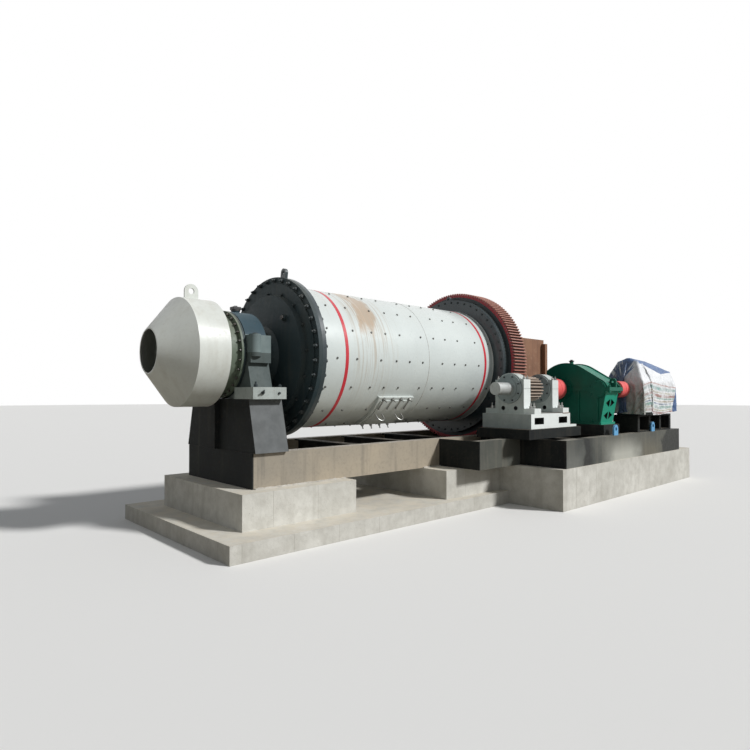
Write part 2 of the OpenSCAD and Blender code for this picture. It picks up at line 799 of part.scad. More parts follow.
// A coupling with a hub, a thick rim hollowed on both faces, and a groove where its halves meet
module coupling(x0, len, r, shaft_r, y) {
    hub_r = (shaft_r + r) / 2;
    rim = r / 5;
    hollow = len / 6;
    groove = 8;
    difference() {
        tube_x(x0, x0 + len, r, shaft_r, y, pinion_z);
        tube_x(x0 - eps, x0 + hollow, r - rim, hub_r, y, pinion_z);
        tube_x(x0 + len - hollow, x0 + len + eps, r - rim, hub_r, y, pinion_z);
        tube_x(x0 + len / 2 - groove / 2, x0 + len / 2 + groove / 2, r + eps, r - rim, y, pinion_z);
    }
}

module drive_coupling() {
    color("#d2484e") coupling(coupling_x, coupling_len, coupling_r, pinion_shaft_r, pinion_y);
}

// How deep the reducer's shafts go into its case, and the gap between two shaft ends
shaft_seat = 100;
shaft_end_gap = 4;

module reducer_output_shaft() {
    color("#b9bfbd") bar_x(shaft_x1 + shaft_end_gap, reducer_x + shaft_seat, pinion_shaft_r,
                           pinion_y, pinion_z);
}

// Upper half of the reducer's outline, drawn from the output shaft's axis: a flat arc over
// the big gear, cut off upright at the far end, and a straight slope down to the nose
hump_centre = [-80, -100];

module reducer_cover_outline(grow = 0) {
    nose = [-reducer_centres, 0] - hump_centre;
    slope_a = atan2(nose[1], nose[0]) - acos((reducer_hump_r - reducer_nose_r) / norm(nose));
    hump_r = reducer_hump_r + grow;
    nose_r = reducer_nose_r + grow;
    reach = reducer_centres + 2 * hump_r;
    intersection() {
        union() {
            translate(hump_centre) circle(r = hump_r);
            translate([-reducer_centres, 0]) circle(r = nose_r);
            polygon([hump_centre, hump_centre + polar(hump_r, slope_a),
                     [-reducer_centres, 0] + polar(nose_r, slope_a), [-reducer_centres, 0]]);
        }
        translate([-reach, 0]) square([reach + reducer_far + grow, reach]);
    }
}

reducer_end_y = -reducer_centres - reducer_nose_r;
flange_side = 20;
cover_fit = 2;

module reducer_bores() {
    for (x = [reducer_x - flange_side - eps, reducer_x + reducer_w]) {
        bar_x(x, x + flange_side + eps, big_cover_r + cover_fit, pinion_y, pinion_z);
        bar_x(x, x + flange_side + eps, small_cover_r + cover_fit, input_y, pinion_z);
    }
    bar_x(reducer_x - eps, reducer_x + shaft_seat + eps, pinion_shaft_r + shaft_play,
          pinion_y, pinion_z);
    bar_x(reducer_x + reducer_w - shaft_seat - eps, reducer_x + reducer_w + eps,
          motor_shaft_r + shaft_play, input_y, pinion_z);
}

// Ridges along the cover's outline, the lugs it is lifted by and its breather
ridge_t = 26;
ridge_out = 16;
lug_w = 110;
lug_h = 150;
lug_t = 26;
breather_r = 32;
breather_h = 60;

module reducer_cover() {
    mid_x = reducer_x + reducer_w / 2;
    color("#0f6a4c") {
        difference() {
            union() {
                along_x(reducer_x, pinion_y, pinion_z) linear_extrude(reducer_w)
                    reducer_cover_outline();
                for (x = [reducer_x, reducer_x + reducer_w - ridge_t])
                    along_x(x, pinion_y, pinion_z) linear_extrude(ridge_t)
                        reducer_cover_outline(ridge_out);
                block([reducer_x - flange_side, pinion_y + reducer_end_y - reducer_flange_out,
                       pinion_z],
                      [reducer_x + reducer_w + flange_side,
                       pinion_y + reducer_far + reducer_far_flange,
                       pinion_z + reducer_flange_t]);
                for (y = [reducer_end_y - reducer_flange_out + lug_w / 2,
                          reducer_far + reducer_far_flange - lug_w / 2])
                    translate([mid_x, pinion_y + y, pinion_z + reducer_flange_t - eps])
                        rotate([0, 0, 90]) lifting_plate(lug_w, lug_h, lug_t, lug_w / 5);
                translate([mid_x, pinion_y + hump_centre[0],
                           pinion_z + hump_centre[1] + reducer_hump_r - breather_r])
                    cylinder(h = breather_h + breather_r, r = breather_r);
            }
            reducer_bores();
        }
    }
}

// Ribs under the case's bearings, and the pockets cast in its narrow end
case_taper = 110;
case_draft = 20;
foot_side = 30;
case_foot_t = 35;
case_rib_t = 26;
pocket_deep = 30;

module reducer_case() {
    foot_y0 = reducer_end_y + case_taper - foot_side;
    color("#0f6a4c") difference() {
        union() {
            along_x(reducer_x, pinion_y, pinion_z) linear_extrude(reducer_w)
                polygon([[reducer_end_y, 0], [reducer_far, 0],
                         [reducer_far - case_draft, -reducer_shaft_h],
                         [reducer_end_y + case_taper, -reducer_shaft_h]]);
            block([reducer_x - flange_side, pinion_y + reducer_end_y - reducer_flange_out,
                   pinion_z - reducer_flange_t],
                  [reducer_x + reducer_w + flange_side, pinion_y + reducer_far + reducer_far_flange,
                   pinion_z]);
            block([reducer_x - foot_side, pinion_y + foot_y0, reducer_foot_z],
                  [reducer_x + reducer_w + foot_side, pinion_y + reducer_far + case_draft,
                   reducer_foot_z + case_foot_t]);
            for (y = [-reducer_centres, -reducer_centres / 2, 0, reducer_far * 0.75])
                block([reducer_x - flange_side, pinion_y + y - case_rib_t / 2, reducer_foot_z],
                      [reducer_x + reducer_w + flange_side, pinion_y + y + case_rib_t / 2,
                       pinion_z - eps]);
        }
        reducer_bores();
        for (k = [0, 1])
            translate([reducer_x + reducer_w / 2, pinion_y + reducer_end_y, pinion_z])
                rotate([atan(case_taper / reducer_shaft_h), 0, 0])
                    translate([0, pocket_deep, -reducer_shaft_h * (0.4 + 0.36 * k)])
                        rotate([90, 0, 0]) linear_extrude(2 * pocket_deep)
                            for (s = [-1, 1])
                                polygon([[s * 16, -70], [s * 16, 70], [s * reducer_w * 0.36, 0]]);
    }
}

module reducer_bearing_covers() {
    cover_out = 26;
    color("#0f6a4c") {
        tube_x(reducer_x - cover_out, reducer_x, big_cover_r,
               pinion_shaft_r + shaft_play, pinion_y, pinion_z);
        bar_x(reducer_x + reducer_w, reducer_x + reducer_w + cover_out, big_cover_r, pinion_y, pinion_z);
        bar_x(reducer_x - cover_out, reducer_x, small_cover_r, input_y, pinion_z);
        tube_x(reducer_x + reducer_w, reducer_x + reducer_w + cover_out, small_cover_r,
               motor_shaft_r + shaft_play, input_y, pinion_z);
    }
}

module reducer_packing() {
    color("#1d2123")
        block([reducer_x - packing_side, pinion_y + reducer_end_y + case_draft, skid_top],
              [reducer_x + reducer_w + packing_side,
               pinion_y + reducer_far + 2 * case_draft, reducer_foot_z]);
}

motor_nose = 120;

module motor_shaft() {
    color("#b9bfbd") bar_x(reducer_x + reducer_w - shaft_seat, motor_x + motor_nose,
                           motor_shaft_r, input_y, pinion_z);
}

module motor_coupling() {
    color("#d2484e") coupling(motor_coupling_x, motor_coupling_len, motor_coupling_r,
                              motor_shaft_r, input_y);
}

// Terminal box on the motor, the motor's feet and its stand
box_rise = 170;
box_top = motor_r + box_rise;
box_x = 60;
box_len = 300;
motor_foot_x = 120;
motor_foot_y = 230;
motor_foot_t = 40;
foot_step = 30;
stand_y = 215;
stand_lead = 60;
stand_tail = 240;

module motor() {
    color("#42505a") difference() {
        union() {
            bar_x(motor_x, motor_end_x, motor_r, input_y, pinion_z);
            block([motor_x + motor_foot_x, input_y - motor_foot_y, motor_foot_z],
                  [motor_end_x - motor_foot_x, input_y + motor_foot_y,
                   motor_foot_z + motor_foot_t]);
            block([motor_x + motor_foot_x, input_y - motor_foot_y + foot_step, motor_foot_z],
                  [motor_end_x - motor_foot_x, input_y + motor_foot_y - foot_step,
                   pinion_z - motor_r / 3]);
            block([motor_x + box_x, input_y - box_len / 2, pinion_z],
                  [motor_x + box_x + box_len, input_y + box_len / 2, pinion_z + box_top]);
        }
        bar_x(motor_x - eps, motor_x + motor_nose + eps, motor_shaft_r + shaft_play,
              input_y, pinion_z);
    }
}

module motor_stand() {
    bays = 3;
    post = 80;
    plate_t = 25;
    stand_x0 = motor_x - stand_lead;
    bay = (motor_len + stand_lead + stand_tail - post) / bays;
    color("#1d2123") difference() {
        block([stand_x0, input_y - stand_y, skid_top],
              [motor_end_x + stand_tail, input_y + stand_y, motor_foot_z]);
        for (i = [0:bays - 1])
            block([stand_x0 + post + i * bay, input_y - stand_y - eps, skid_top + plate_t],
                  [stand_x0 + (i + 1) * bay, input_y + stand_y + eps, motor_foot_z - plate_t]);
    }
}

// Tarpaulin: a plain closed body with a cavity for the motor, open below
tarp_gap = 0.3;
tarp_low = motor_foot_z - pinion_z + 60;
tarp_slack = 25;
tarp_shoulder = 120;

module tarp_side(grow) {
    polygon([[-stand_lead - grow, tarp_low], [-stand_lead - grow, motor_r / 2],
             [box_x - foot_step + grow / 4, box_top + grow],
             [box_x + box_len + grow / 2, box_top + grow],
             [motor_len + motor_foot_t + grow, motor_r + grow],
             [motor_len + motor_foot_t + grow, tarp_low]]);
}

module tarp_front(grow) {
    half = motor_r + tarp_slack + grow;
    top_half = box_len / 2 + tarp_slack + grow;
    polygon([[-half, tarp_low - eps], [half, tarp_low - eps], [half, tarp_shoulder],
             [top_half, box_top + grow + eps], [-top_half, box_top + grow + eps],
             [-half, tarp_shoulder]]);
}

module tarp_body(grow) {
    intersection() {
        translate([motor_x, input_y, pinion_z]) rotate([90, 0, 0])
            translate([0, 0, -motor_len]) linear_extrude(2 * motor_len) tarp_side(grow);
        along_x(motor_x - motor_len / 2, input_y, pinion_z) linear_extrude(2 * motor_len)
            tarp_front(grow);
    }
}

module motor_tarp() {
    color("#e8ebee") difference() {
        tarp_body(tarp_t);
        translate([0, 0, -tiny]) tarp_body(tarp_gap);
        bar_x(motor_x - motor_len / 4, motor_x, motor_shaft_r + stand_lead, input_y, pinion_z);
    }
}

// Discharge hood

hood_clearance = 30;

module discharge_hood() {
    z0 = axis_h - hood_drop;
    z1 = axis_h + hood_rise;
    leg = hood_leg;
    color("#6b5142") {
        difference() {
            block([hood_x, -hood_half_y, z0], [hood_x + hood_len, hood_half_y, z1]);
            block([hood_x + hood_wall, -hood_half_y + hood_wall, z0 - eps],
                  [hood_x + hood_len - hood_wall, hood_half_y - hood_wall, z1 - hood_wall]);
            bar_x(hood_x - eps, hood_x + hood_wall + eps, journal_r + hood_clearance, 0, axis_h);
        }
        for (x = [hood_x, hood_x + hood_len - leg], s = [-1, 1])
            block([x, s < 0 ? -hood_half_y - leg : hood_half_y, skid_top],
                  [x + leg, s < 0 ? -hood_half_y : hood_half_y + leg, z1 - leg]);
    }
}

// Lifting eyes

// A flat plate with a round top and a hole, standing along X, from its foot's middle
module lifting_plate(w, h, t, hole_r) {
    rotate([90, 0, 0]) translate([0, 0, -t / 2]) linear_extrude(t) difference() {
        union() {
            translate([-w / 2, 0]) square([w, h - w / 2]);
            translate([0, h - w / 2]) circle(r = w / 2);
        }
        translate([0, h - w / 2]) circle(r = hole_r);
    }
}

eye_edge = 5;
frame_eye_w = 140;
frame_eye_h = 170;

module frame_lifting_eyes() {
    color("#7fb6e6") for (x = [reducer_x + reducer_w / 4, motor_x + motor_len * 0.42])
        translate([x, -drive_y + beam_t + eye_edge, skid_top])
            lifting_plate(frame_eye_w, frame_eye_h, 0.2 * frame_eye_w, 0.22 * frame_eye_w);
}

// Feeder

feeder_lug_w = 168;
feeder_lug_h = 177;

module feeder_drum() {
    t = feeder_wall;
    color("#dde3e0") turned([[feeder_mouth_r, mouth_x], [feeder_r, cone_x],
        [feeder_r, feeder_back_x], [trunnion_bore_r, feeder_back_x],
        [trunnion_bore_r, feeder_back_x - t], [feeder_r - t, feeder_back_x - t],
        [feeder_r - t, cone_x + t / 3], [feeder_mouth_r - t, mouth_x + t / 3],
        [feeder_mouth_r - t, mouth_x]]);
    color("#dde3e0") translate([(cone_x + feeder_back_x) / 2, 0, axis_h + feeder_r - t / 2])
        lifting_plate(feeder_lug_w, feeder_lug_h + t / 2, 1.5 * t, 0.21 * feeder_lug_w);
}

module feeder_ring() {
    color("#7d8a7f") turned([[trunnion_bore_r, feeder_back_x], [neck_r, feeder_back_x],
        [neck_r, neck_x], [ring_r, neck_x], [ring_r, neck_x + ring_t],
        [trunnion_bore_r, neck_x + ring_t]]);
}

foundation_slab();
feed_plinth();
discharge_plinth();
drive_plinth();
skid_beam_front();
skid_beam_back();
skid_cross_beams();
drive_frame_rails();
drive_frame_cross_beams();
feed_pedestal();
feed_bearing_base();
feed_bearing_housing();
feed_bearing_cap();
discharge_pedestal();
discharge_bearing_base();
discharge_bearing_housing();
discharge_bearing_cap();
shell();
feed_head();
discharge_head();
manhole_cover();
girth_gear();
feeder_drum();
feeder_ring();
pinion();
pinion_shaft();
pinion_block_front();
pinion_block_rear();
pinion_block_covers();
pinion_base();
pinion_packing();
drive_coupling();
reducer_output_shaft();
reducer_case();
reducer_cover();
reducer_bearing_covers();
reducer_packing();
motor_shaft();
motor_coupling();
motor();
motor_stand();
motor_tarp();
discharge_hood();
frame_lifting_eyes();
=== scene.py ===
import math
import random

import bmesh
import bpy
from mathutils import Matrix, Vector, noise


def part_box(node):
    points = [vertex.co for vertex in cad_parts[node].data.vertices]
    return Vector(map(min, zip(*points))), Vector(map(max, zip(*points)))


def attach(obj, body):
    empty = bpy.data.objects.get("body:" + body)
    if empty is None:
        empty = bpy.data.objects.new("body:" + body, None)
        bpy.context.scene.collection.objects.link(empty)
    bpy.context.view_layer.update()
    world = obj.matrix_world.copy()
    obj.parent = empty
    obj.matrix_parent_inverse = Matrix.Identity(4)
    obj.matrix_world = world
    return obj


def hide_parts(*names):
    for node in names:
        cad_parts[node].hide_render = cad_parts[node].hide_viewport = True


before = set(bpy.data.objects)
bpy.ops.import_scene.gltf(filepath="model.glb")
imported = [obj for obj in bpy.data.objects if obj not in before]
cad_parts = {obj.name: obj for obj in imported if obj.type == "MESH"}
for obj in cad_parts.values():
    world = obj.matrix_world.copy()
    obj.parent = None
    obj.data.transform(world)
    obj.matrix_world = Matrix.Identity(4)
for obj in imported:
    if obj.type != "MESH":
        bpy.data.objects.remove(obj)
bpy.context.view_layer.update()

scene = bpy.context.scene
dice = random.Random(7)

# camera first: it stands where the photographer stood, at the feed end on the drive side
cameraLook = {"place": (-4.007, -6.341, 1.647), "turn": (90.772, 0.0, -42.674), "lens": 27.17, "shiftY": 0.0153}

cameraData = bpy.data.cameras.new("siteCamera")
cameraData.lens = cameraLook["lens"]
cameraData.sensor_width = 36
cameraData.shift_y = cameraLook["shiftY"]
cameraData.clip_end = 400
siteCamera = bpy.data.objects.new("siteCamera", cameraData)
siteCamera.location = cameraLook["place"]
siteCamera.rotation_euler = [math.radians(a) for a in cameraLook["turn"]]
scene.collection.objects.link(siteCamera)
scene.camera = siteCamera
print("camera placed")

# places that many pieces share, from the CAD boxes
headLow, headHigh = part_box("feed_head")
axisZ = (headLow.z + headHigh.z) / 2
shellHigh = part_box("shell")[1]
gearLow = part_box("girth_gear")[0]
shaftLow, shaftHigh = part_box("pinion_shaft")
pinionY = (shaftLow.y + shaftHigh.y) / 2
pinionZ = (shaftLow.z + shaftHigh.z) / 2
motorLow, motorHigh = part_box("motor_shaft")
motorY = (motorLow.y + motorHigh.y) / 2


# a node in the tree its values come from; each value is another node's output, a number or a colour
def addNode(kind, values, **settings):
    tree = next(value for value in values.values() if isinstance(value, bpy.types.NodeSocket)).id_data
    node = tree.nodes.new("ShaderNode" + kind)
    for setting, choice in settings.items():
        setattr(node, setting, choice)
    for name, value in values.items():
        socket = node.inputs[name]
        if isinstance(value, bpy.types.NodeSocket):
            tree.links.new(value, socket)
        else:
            socket.default_value = (*value, 1) if socket.type == "RGBA" else value
    return node


def join(source, socket):
    source.id_data.links.new(source, socket)


def mixColour(factor, first, second):
    return addNode("Mix", {0: factor, 6: first, 7: second}, data_type="RGBA", clamp_factor=True).outputs[2]


def sums(operation, first, second=0.0):
    return addNode("Math", {0: first, 1: second}, operation=operation).outputs[0]


def times(*values):
    product = values[0]
    for value in values[1:]:
        product = sums("MULTIPLY", product, value)
    return product


# a value squeezed to 0..1 between two levels
def between(value, low, high, toLow=0.0, toHigh=1.0):
    return addNode("MapRange", {0: value, 1: low, 2: high, 3: toLow, 4: toHigh}).outputs[0]


# how far a value lies from a level, on either side
def away(value, level):
    return sums("ABSOLUTE", sums("SUBTRACT", value, level))


def parts(vector):
    return addNode("SeparateXYZ", {0: vector}).outputs


def grain(coords, scale, detail=6.0, stretch=(1, 1, 1), rough=0.55):
    stretched = addNode("Mapping", {"Vector": coords, "Scale": stretch}).outputs[0]
    noiseNode = addNode("TexNoise", {"Vector": stretched, "Scale": scale, "Detail": detail, "Roughness": rough})
    return noiseNode.outputs["Fac"]


def startMaterial(name, metal=0.0):
    material = bpy.data.materials.new(name)
    material.use_nodes = True
    shader = material.node_tree.nodes["Principled BSDF"]
    shader.inputs["Metallic"].default_value = metal
    coords = material.node_tree.nodes.new("ShaderNodeTexCoord")
    return material, shader, coords.outputs["Object"], coords.outputs["Normal"]


def addBump(shader, height, strength, distance):
    bump = addNode("Bump", {"Strength": strength, "Distance": distance, "Height": height})
    join(bump.outputs[0], shader.inputs["Normal"])


# 1 inside a box of object space, 0 outside it; a side given as None is left open
def insideBox(coords, low, high):
    place = parts(coords)
    tests = [sums(operation, place[axis], limits[axis]) for axis in range(3)
             for operation, limits in (("GREATER_THAN", low), ("LESS_THAN", high)) if limits[axis] is not None]
    return times(*tests)


# distance from an axis that lies along X
def radiusAboutX(coords, centreY, centreZ):
    centred = addNode("Mapping", {"Vector": coords, "Location": (0, -centreY, -centreZ), "Scale": (0, 1, 1)})
    return addNode("VectorMath", {0: centred.outputs[0]}, operation="LENGTH").outputs["Value"]


# dust that has settled on faces that look up
def topDust(normal, coords, amount):
    up = between(parts(normal)[2], 0.35, 0.95)
    patchy = between(grain(coords, 5.0, 8.0), 0.3, 0.62, 0.25, 1.0)
    return times(up, patchy, amount)


siteDust = (0.70, 0.63, 0.51)
rustBrown = (0.20, 0.075, 0.03)


# a paint's shades; whatever it leaves out is as on most of the machine
def paint(colour, shade, dirt, dustColour, roughness, **other):
    usual = {"metal": 0.0, "broad": 1.6, "fine": 24.0, "speck": 0.3, "runs": 0.25, "dust": 0.4,
             "chipScale": 17.0, "chips": 0.4, "gloss": 0.5, "bump": 0.25, "rust": rustBrown}
    return {"colour": colour, "shade": shade, "dirt": dirt, "dustColour": dustColour, "roughness": roughness,
            **usual, **other}


# paint on steel or castings: two shades, dirt runs, dust on top and chips down to rust
def weatheredPaint(name, look):
    material, shader, coords, normal = startMaterial(name, look["metal"])
    colour = mixColour(between(grain(coords, look["broad"], 5.0), 0.35, 0.68), look["colour"], look["shade"])
    fine = grain(coords, look["fine"], 9.0, rough=0.65)
    colour = mixColour(times(between(fine, 0.5, 0.72), look["speck"]), colour, look["dirt"])
    runs = between(grain(coords, 9.0, 6.0, (1.0, 1.0, 0.07)), 0.5, 0.74)
    colour = mixColour(times(runs, look["runs"]), colour, look["dirt"])
    colour = mixColour(topDust(normal, coords, look["dust"]), colour, look["dustColour"])
    chips = between(grain(coords, look["chipScale"], 10.0, rough=0.7), 0.66, 0.70)
    colour = mixColour(times(chips, look["chips"]), colour, look["rust"])
    join(colour, shader.inputs["Base Color"])
    join(between(fine, 0.3, 0.7, *look["roughness"]), shader.inputs["Roughness"])
    shader.inputs["Specular IOR Level"].default_value = look["gloss"]
    addBump(shader, fine, look["bump"], 0.002)
    return material, shader, coords, colour


paints = {
    "frameBlack": paint(
        (0.011, 0.013, 0.014), (0.022, 0.025, 0.024), (0.11, 0.095, 0.075), (0.24, 0.205, 0.16), (0.5, 0.8),
        dust=0.45, runs=0.2, speck=0.2, chips=0.35, gloss=0.12),
    # the skid's tan is settled dust and painted reflection of the ground on dark glossy paint
    "skidDustAndReflection": paint(
        (0.29, 0.262, 0.215), (0.42, 0.36, 0.275), (0.12, 0.115, 0.105), (0.52, 0.48, 0.42), (0.4, 0.7),
        dust=0.9, runs=0.55, speck=0.25, chips=0.25, broad=0.8, gloss=0.3, rust=(0.13, 0.06, 0.035)),
    "bearingGrey": paint(
        (0.075, 0.096, 0.096), (0.11, 0.132, 0.128), (0.05, 0.055, 0.045), (0.3, 0.29, 0.25), (0.5, 0.7),
        dust=0.3, runs=0.3, speck=0.2, chips=0.2, gloss=0.14),
    "capBlue": paint(
        (0.026, 0.056, 0.076), (0.045, 0.076, 0.094), (0.03, 0.045, 0.05), (0.12, 0.16, 0.17), (0.4, 0.6),
        dust=0.2, runs=0.25, speck=0.2, chips=0.15, gloss=0.12),
    "basePale": paint(
        (0.42, 0.46, 0.44), (0.3, 0.34, 0.33), (0.12, 0.13, 0.11), (0.42, 0.37, 0.3), (0.35, 0.6), runs=0.4,
        speck=0.3, chips=0.4),
    "feederCream": paint(
        (0.7, 0.725, 0.68), (0.61, 0.635, 0.6), (0.36, 0.33, 0.26), (0.6, 0.54, 0.44), (0.3, 0.48), dust=0.2,
        runs=0.25, speck=0.15, chips=0.2, bump=0.12, rust=(0.3, 0.17, 0.1)),
    "headSlate": paint(
        (0.02, 0.036, 0.043), (0.04, 0.058, 0.062), (0.09, 0.09, 0.075), (0.2, 0.19, 0.155), (0.45, 0.65),
        dust=0.3, runs=0.3, speck=0.2, chips=0.15, gloss=0.22),
    "ringOlive": paint(
        (0.085, 0.115, 0.085), (0.14, 0.17, 0.13), (0.05, 0.055, 0.035), (0.28, 0.27, 0.21), (0.4, 0.6),
        runs=0.2, gloss=0.3),
    "blockGrey": paint(
        (0.56, 0.62, 0.6), (0.47, 0.53, 0.52), (0.2, 0.2, 0.17), (0.5, 0.46, 0.39), (0.32, 0.5), dust=0.3,
        runs=0.25, speck=0.25, chips=0.25, gloss=0.35),
    "coverSlate": paint(
        (0.33, 0.39, 0.395), (0.27, 0.32, 0.325), (0.14, 0.15, 0.14), (0.42, 0.4, 0.34), (0.32, 0.5),
        dust=0.3, runs=0.25, speck=0.25, chips=0.2, gloss=0.35),
    "baseWhite": paint(
        (0.7, 0.75, 0.72), (0.61, 0.66, 0.64), (0.25, 0.24, 0.2), (0.54, 0.5, 0.42), (0.32, 0.5), dust=0.4,
        runs=0.25, speck=0.2, chips=0.25, gloss=0.35),
    "couplingRed": paint(
        (0.93, 0.165, 0.16), (0.84, 0.125, 0.125), (0.22, 0.05, 0.035), (0.6, 0.34, 0.3), (0.34, 0.52),
        dust=0.2),
    "reducerGreen": paint(
        (0.004, 0.15, 0.094), (0.004, 0.105, 0.068), (0.015, 0.045, 0.03), (0.04, 0.27, 0.185), (0.34, 0.5),
        dust=0.4, runs=0.25, speck=0.2, chips=0.12, gloss=0.25),
    "motorPaint": paint(
        (0.07, 0.11, 0.13), (0.09, 0.13, 0.15), (0.05, 0.05, 0.045), (0.3, 0.28, 0.24), (0.35, 0.55)),
    "eyeBlue": paint(
        (0.13, 0.42, 0.72), (0.1, 0.34, 0.62), (0.08, 0.14, 0.2), (0.4, 0.42, 0.42), (0.3, 0.5)),
    "nutSteel": paint(
        (0.05, 0.052, 0.055), (0.085, 0.08, 0.075), (0.16, 0.1, 0.06), (0.28, 0.24, 0.19), (0.35, 0.6),
        metal=0.6, fine=60.0, speck=0.35, chips=0.5, chipScale=40.0),
    "zincNut": paint(
        (0.36, 0.37, 0.36), (0.28, 0.28, 0.27), (0.14, 0.11, 0.08), (0.4, 0.36, 0.3), (0.3, 0.5), metal=0.8,
        fine=60.0, speck=0.3, chips=0.4, chipScale=40.0),
    "stripeRed": paint(
        (0.64, 0.028, 0.05), (0.56, 0.022, 0.04), (0.24, 0.06, 0.05), (0.5, 0.3, 0.27), (0.25, 0.4),
        dust=0.15, runs=0.2, speck=0.2, chips=0.15, bump=0.08),
    "shimBrown": paint(
        (0.16, 0.065, 0.03), (0.22, 0.1, 0.05), (0.07, 0.04, 0.03), (0.3, 0.22, 0.15), (0.6, 0.85)),
    "slateNut": paint(
        (0.026, 0.038, 0.044), (0.046, 0.058, 0.062), (0.12, 0.105, 0.08), (0.22, 0.2, 0.165), (0.45, 0.65),
        fine=60.0, speck=0.25, chips=0.3, chipScale=40.0, gloss=0.25),
    "linerNut": paint(
        (0.16, 0.17, 0.165), (0.085, 0.085, 0.08), (0.13, 0.08, 0.05), (0.34, 0.31, 0.26), (0.4, 0.65),
        metal=0.3, fine=60.0, speck=0.4, chips=0.6, chipScale=40.0),
    "breatherBlack": paint(
        (0.012, 0.014, 0.016), (0.03, 0.03, 0.032), (0.09, 0.08, 0.06), (0.2, 0.18, 0.15), (0.35, 0.6)),
}
paints["pedestalBlack"] = paints["frameBlack"]
gloomy = (0.012, 0.014, 0.015)
paintedSunlitGreen = (0.012, 0.33, 0.215)
anywhere = (None, None, None)


# a paint with tinted zones, some of them painted light on a sunlit face and painted shade on a shaded face, and
# with windows, bored holes and sloping pockets in painted deep shade; before a sloping pocket the plate is
# painted light
def makePaint(name, look, fadedAndPaintedLight=(), boxes=(), bores=(), slopes=()):
    material, shader, coords, colour = weatheredPaint(name, look)
    for low, high, tint, amount in fadedAndPaintedLight:
        patchy = between(grain(coords, 7.0, 7.0), 0.35, 0.62, 0.75 * amount, amount)
        colour = mixColour(times(insideBox(coords, low, high), patchy), colour, tint)
    hidden = [insideBox(coords, low, high) for low, high in boxes]
    hidden += [sums("LESS_THAN", radiusAboutX(coords, y, z), r) for y, z, r in bores]
    for low, high, point, tilt in slopes:
        out = (0, math.cos(tilt), math.sin(tilt))
        depth = addNode("VectorMath", {0: coords, 1: out}, operation="DOT_PRODUCT").outputs["Value"]
        plate = point[0] * out[1] + point[1] * out[2] + 0.004
        onPlate = times(sums("LESS_THAN", depth, plate),
                        insideBox(coords, anywhere, (None, None, point[1] - 0.032)))
        # the plate on the drive side is painted paler green: painted light
        colour = mixColour(times(onPlate, 0.75), colour, paintedSunlitGreen)
        hidden.append(times(sums("GREATER_THAN", depth, plate), sums("LESS_THAN", depth, plate + 0.031),
                            insideBox(coords, low, high)))
    for mask in hidden:
        colour = mixColour(times(mask, 0.94), colour, gloomy)
    join(colour, shader.inputs["Base Color"])
    return material


baseLow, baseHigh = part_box("pinion_base")
caseLow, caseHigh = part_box("reducer_case")
blocks = [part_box("pinion_block_front"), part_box("pinion_block_rear")]
coverLow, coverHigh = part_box("reducer_cover")
caseMiddle = (coverLow.x + coverHigh.x) / 2
windows = {"starts": (3.374, 4.064), "length": 0.260, "low": 0.064, "high": 0.166, "deep": 0.252}
castHoles = {"apart": 0.112, "rise": 0.083, "radius": 0.0335}
capEars = {"inner": 0.438, "top": axisZ + 0.2145, "tint": (0.22, 0.27, 0.265)}
pockets = {"half": 0.172, "low": pinionZ - 0.56, "high": pinionZ - 0.10, "edge": (pinionY - 0.800, pinionZ),
           "tilt": math.atan(0.110 / 0.580)}
zones = {
    "baseWhite": {
        # the windows are painted deep shade inside
        "boxes": [((x - 0.001, baseLow.y + 0.004, baseLow.z + windows["low"]),
                   (x + windows["length"] + 0.001, baseLow.y + windows["deep"], baseLow.z + windows["high"]))
                  for x in windows["starts"]],
        # the drive side face is painted lighter as painted light, and the face towards the feed end darker as
        # painted shade
        "fadedAndPaintedLight": [(anywhere, (None, baseLow.y + 0.002, None), (0.86, 0.90, 0.88), 0.85),
                  (anywhere, (baseLow.x + 0.002, None, None), (0.30, 0.35, 0.35), 0.80)]},
    "blockGrey": {
        # the cast holes are painted deep shade
        "bores": [(pinionY + side * castHoles["apart"], blocks[0][0].z + castHoles["rise"], castHoles["radius"])
                  for side in (-1, 1)],
        # the drive side face is painted lighter: painted light
        "fadedAndPaintedLight": [(anywhere, (None, pinionY - 0.253, None), (0.84, 0.88, 0.86), 0.9)]},
    "capBlue": {
        "fadedAndPaintedLight": [(anywhere, (None, -capEars["inner"], capEars["top"]), capEars["tint"], 0.85),
                  ((None, capEars["inner"], None), (None, None, capEars["top"]), capEars["tint"], 0.85)]},
    "pedestalBlack": {
        # the pedestals' drive side faces are painted pale grey: painted light
        "fadedAndPaintedLight": [((low.x + 0.004, None, None), (high.x - 0.004, -0.66, None), (0.165, 0.175, 0.178), 0.9)
                  for low, high in (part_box("feed_bearing_base"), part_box("discharge_bearing_base"))]},
    "reducerGreen": {
        # the sloping pocket is painted deep shade and the plate before it painted light
        "slopes": [((caseMiddle - pockets["half"], None, pockets["low"]),
                    (caseMiddle + pockets["half"], None, pockets["high"]), pockets["edge"], pockets["tilt"])]},
}
finishes = {name: makePaint(name, look, **zones.get(name, {})) for name, look in paints.items()}
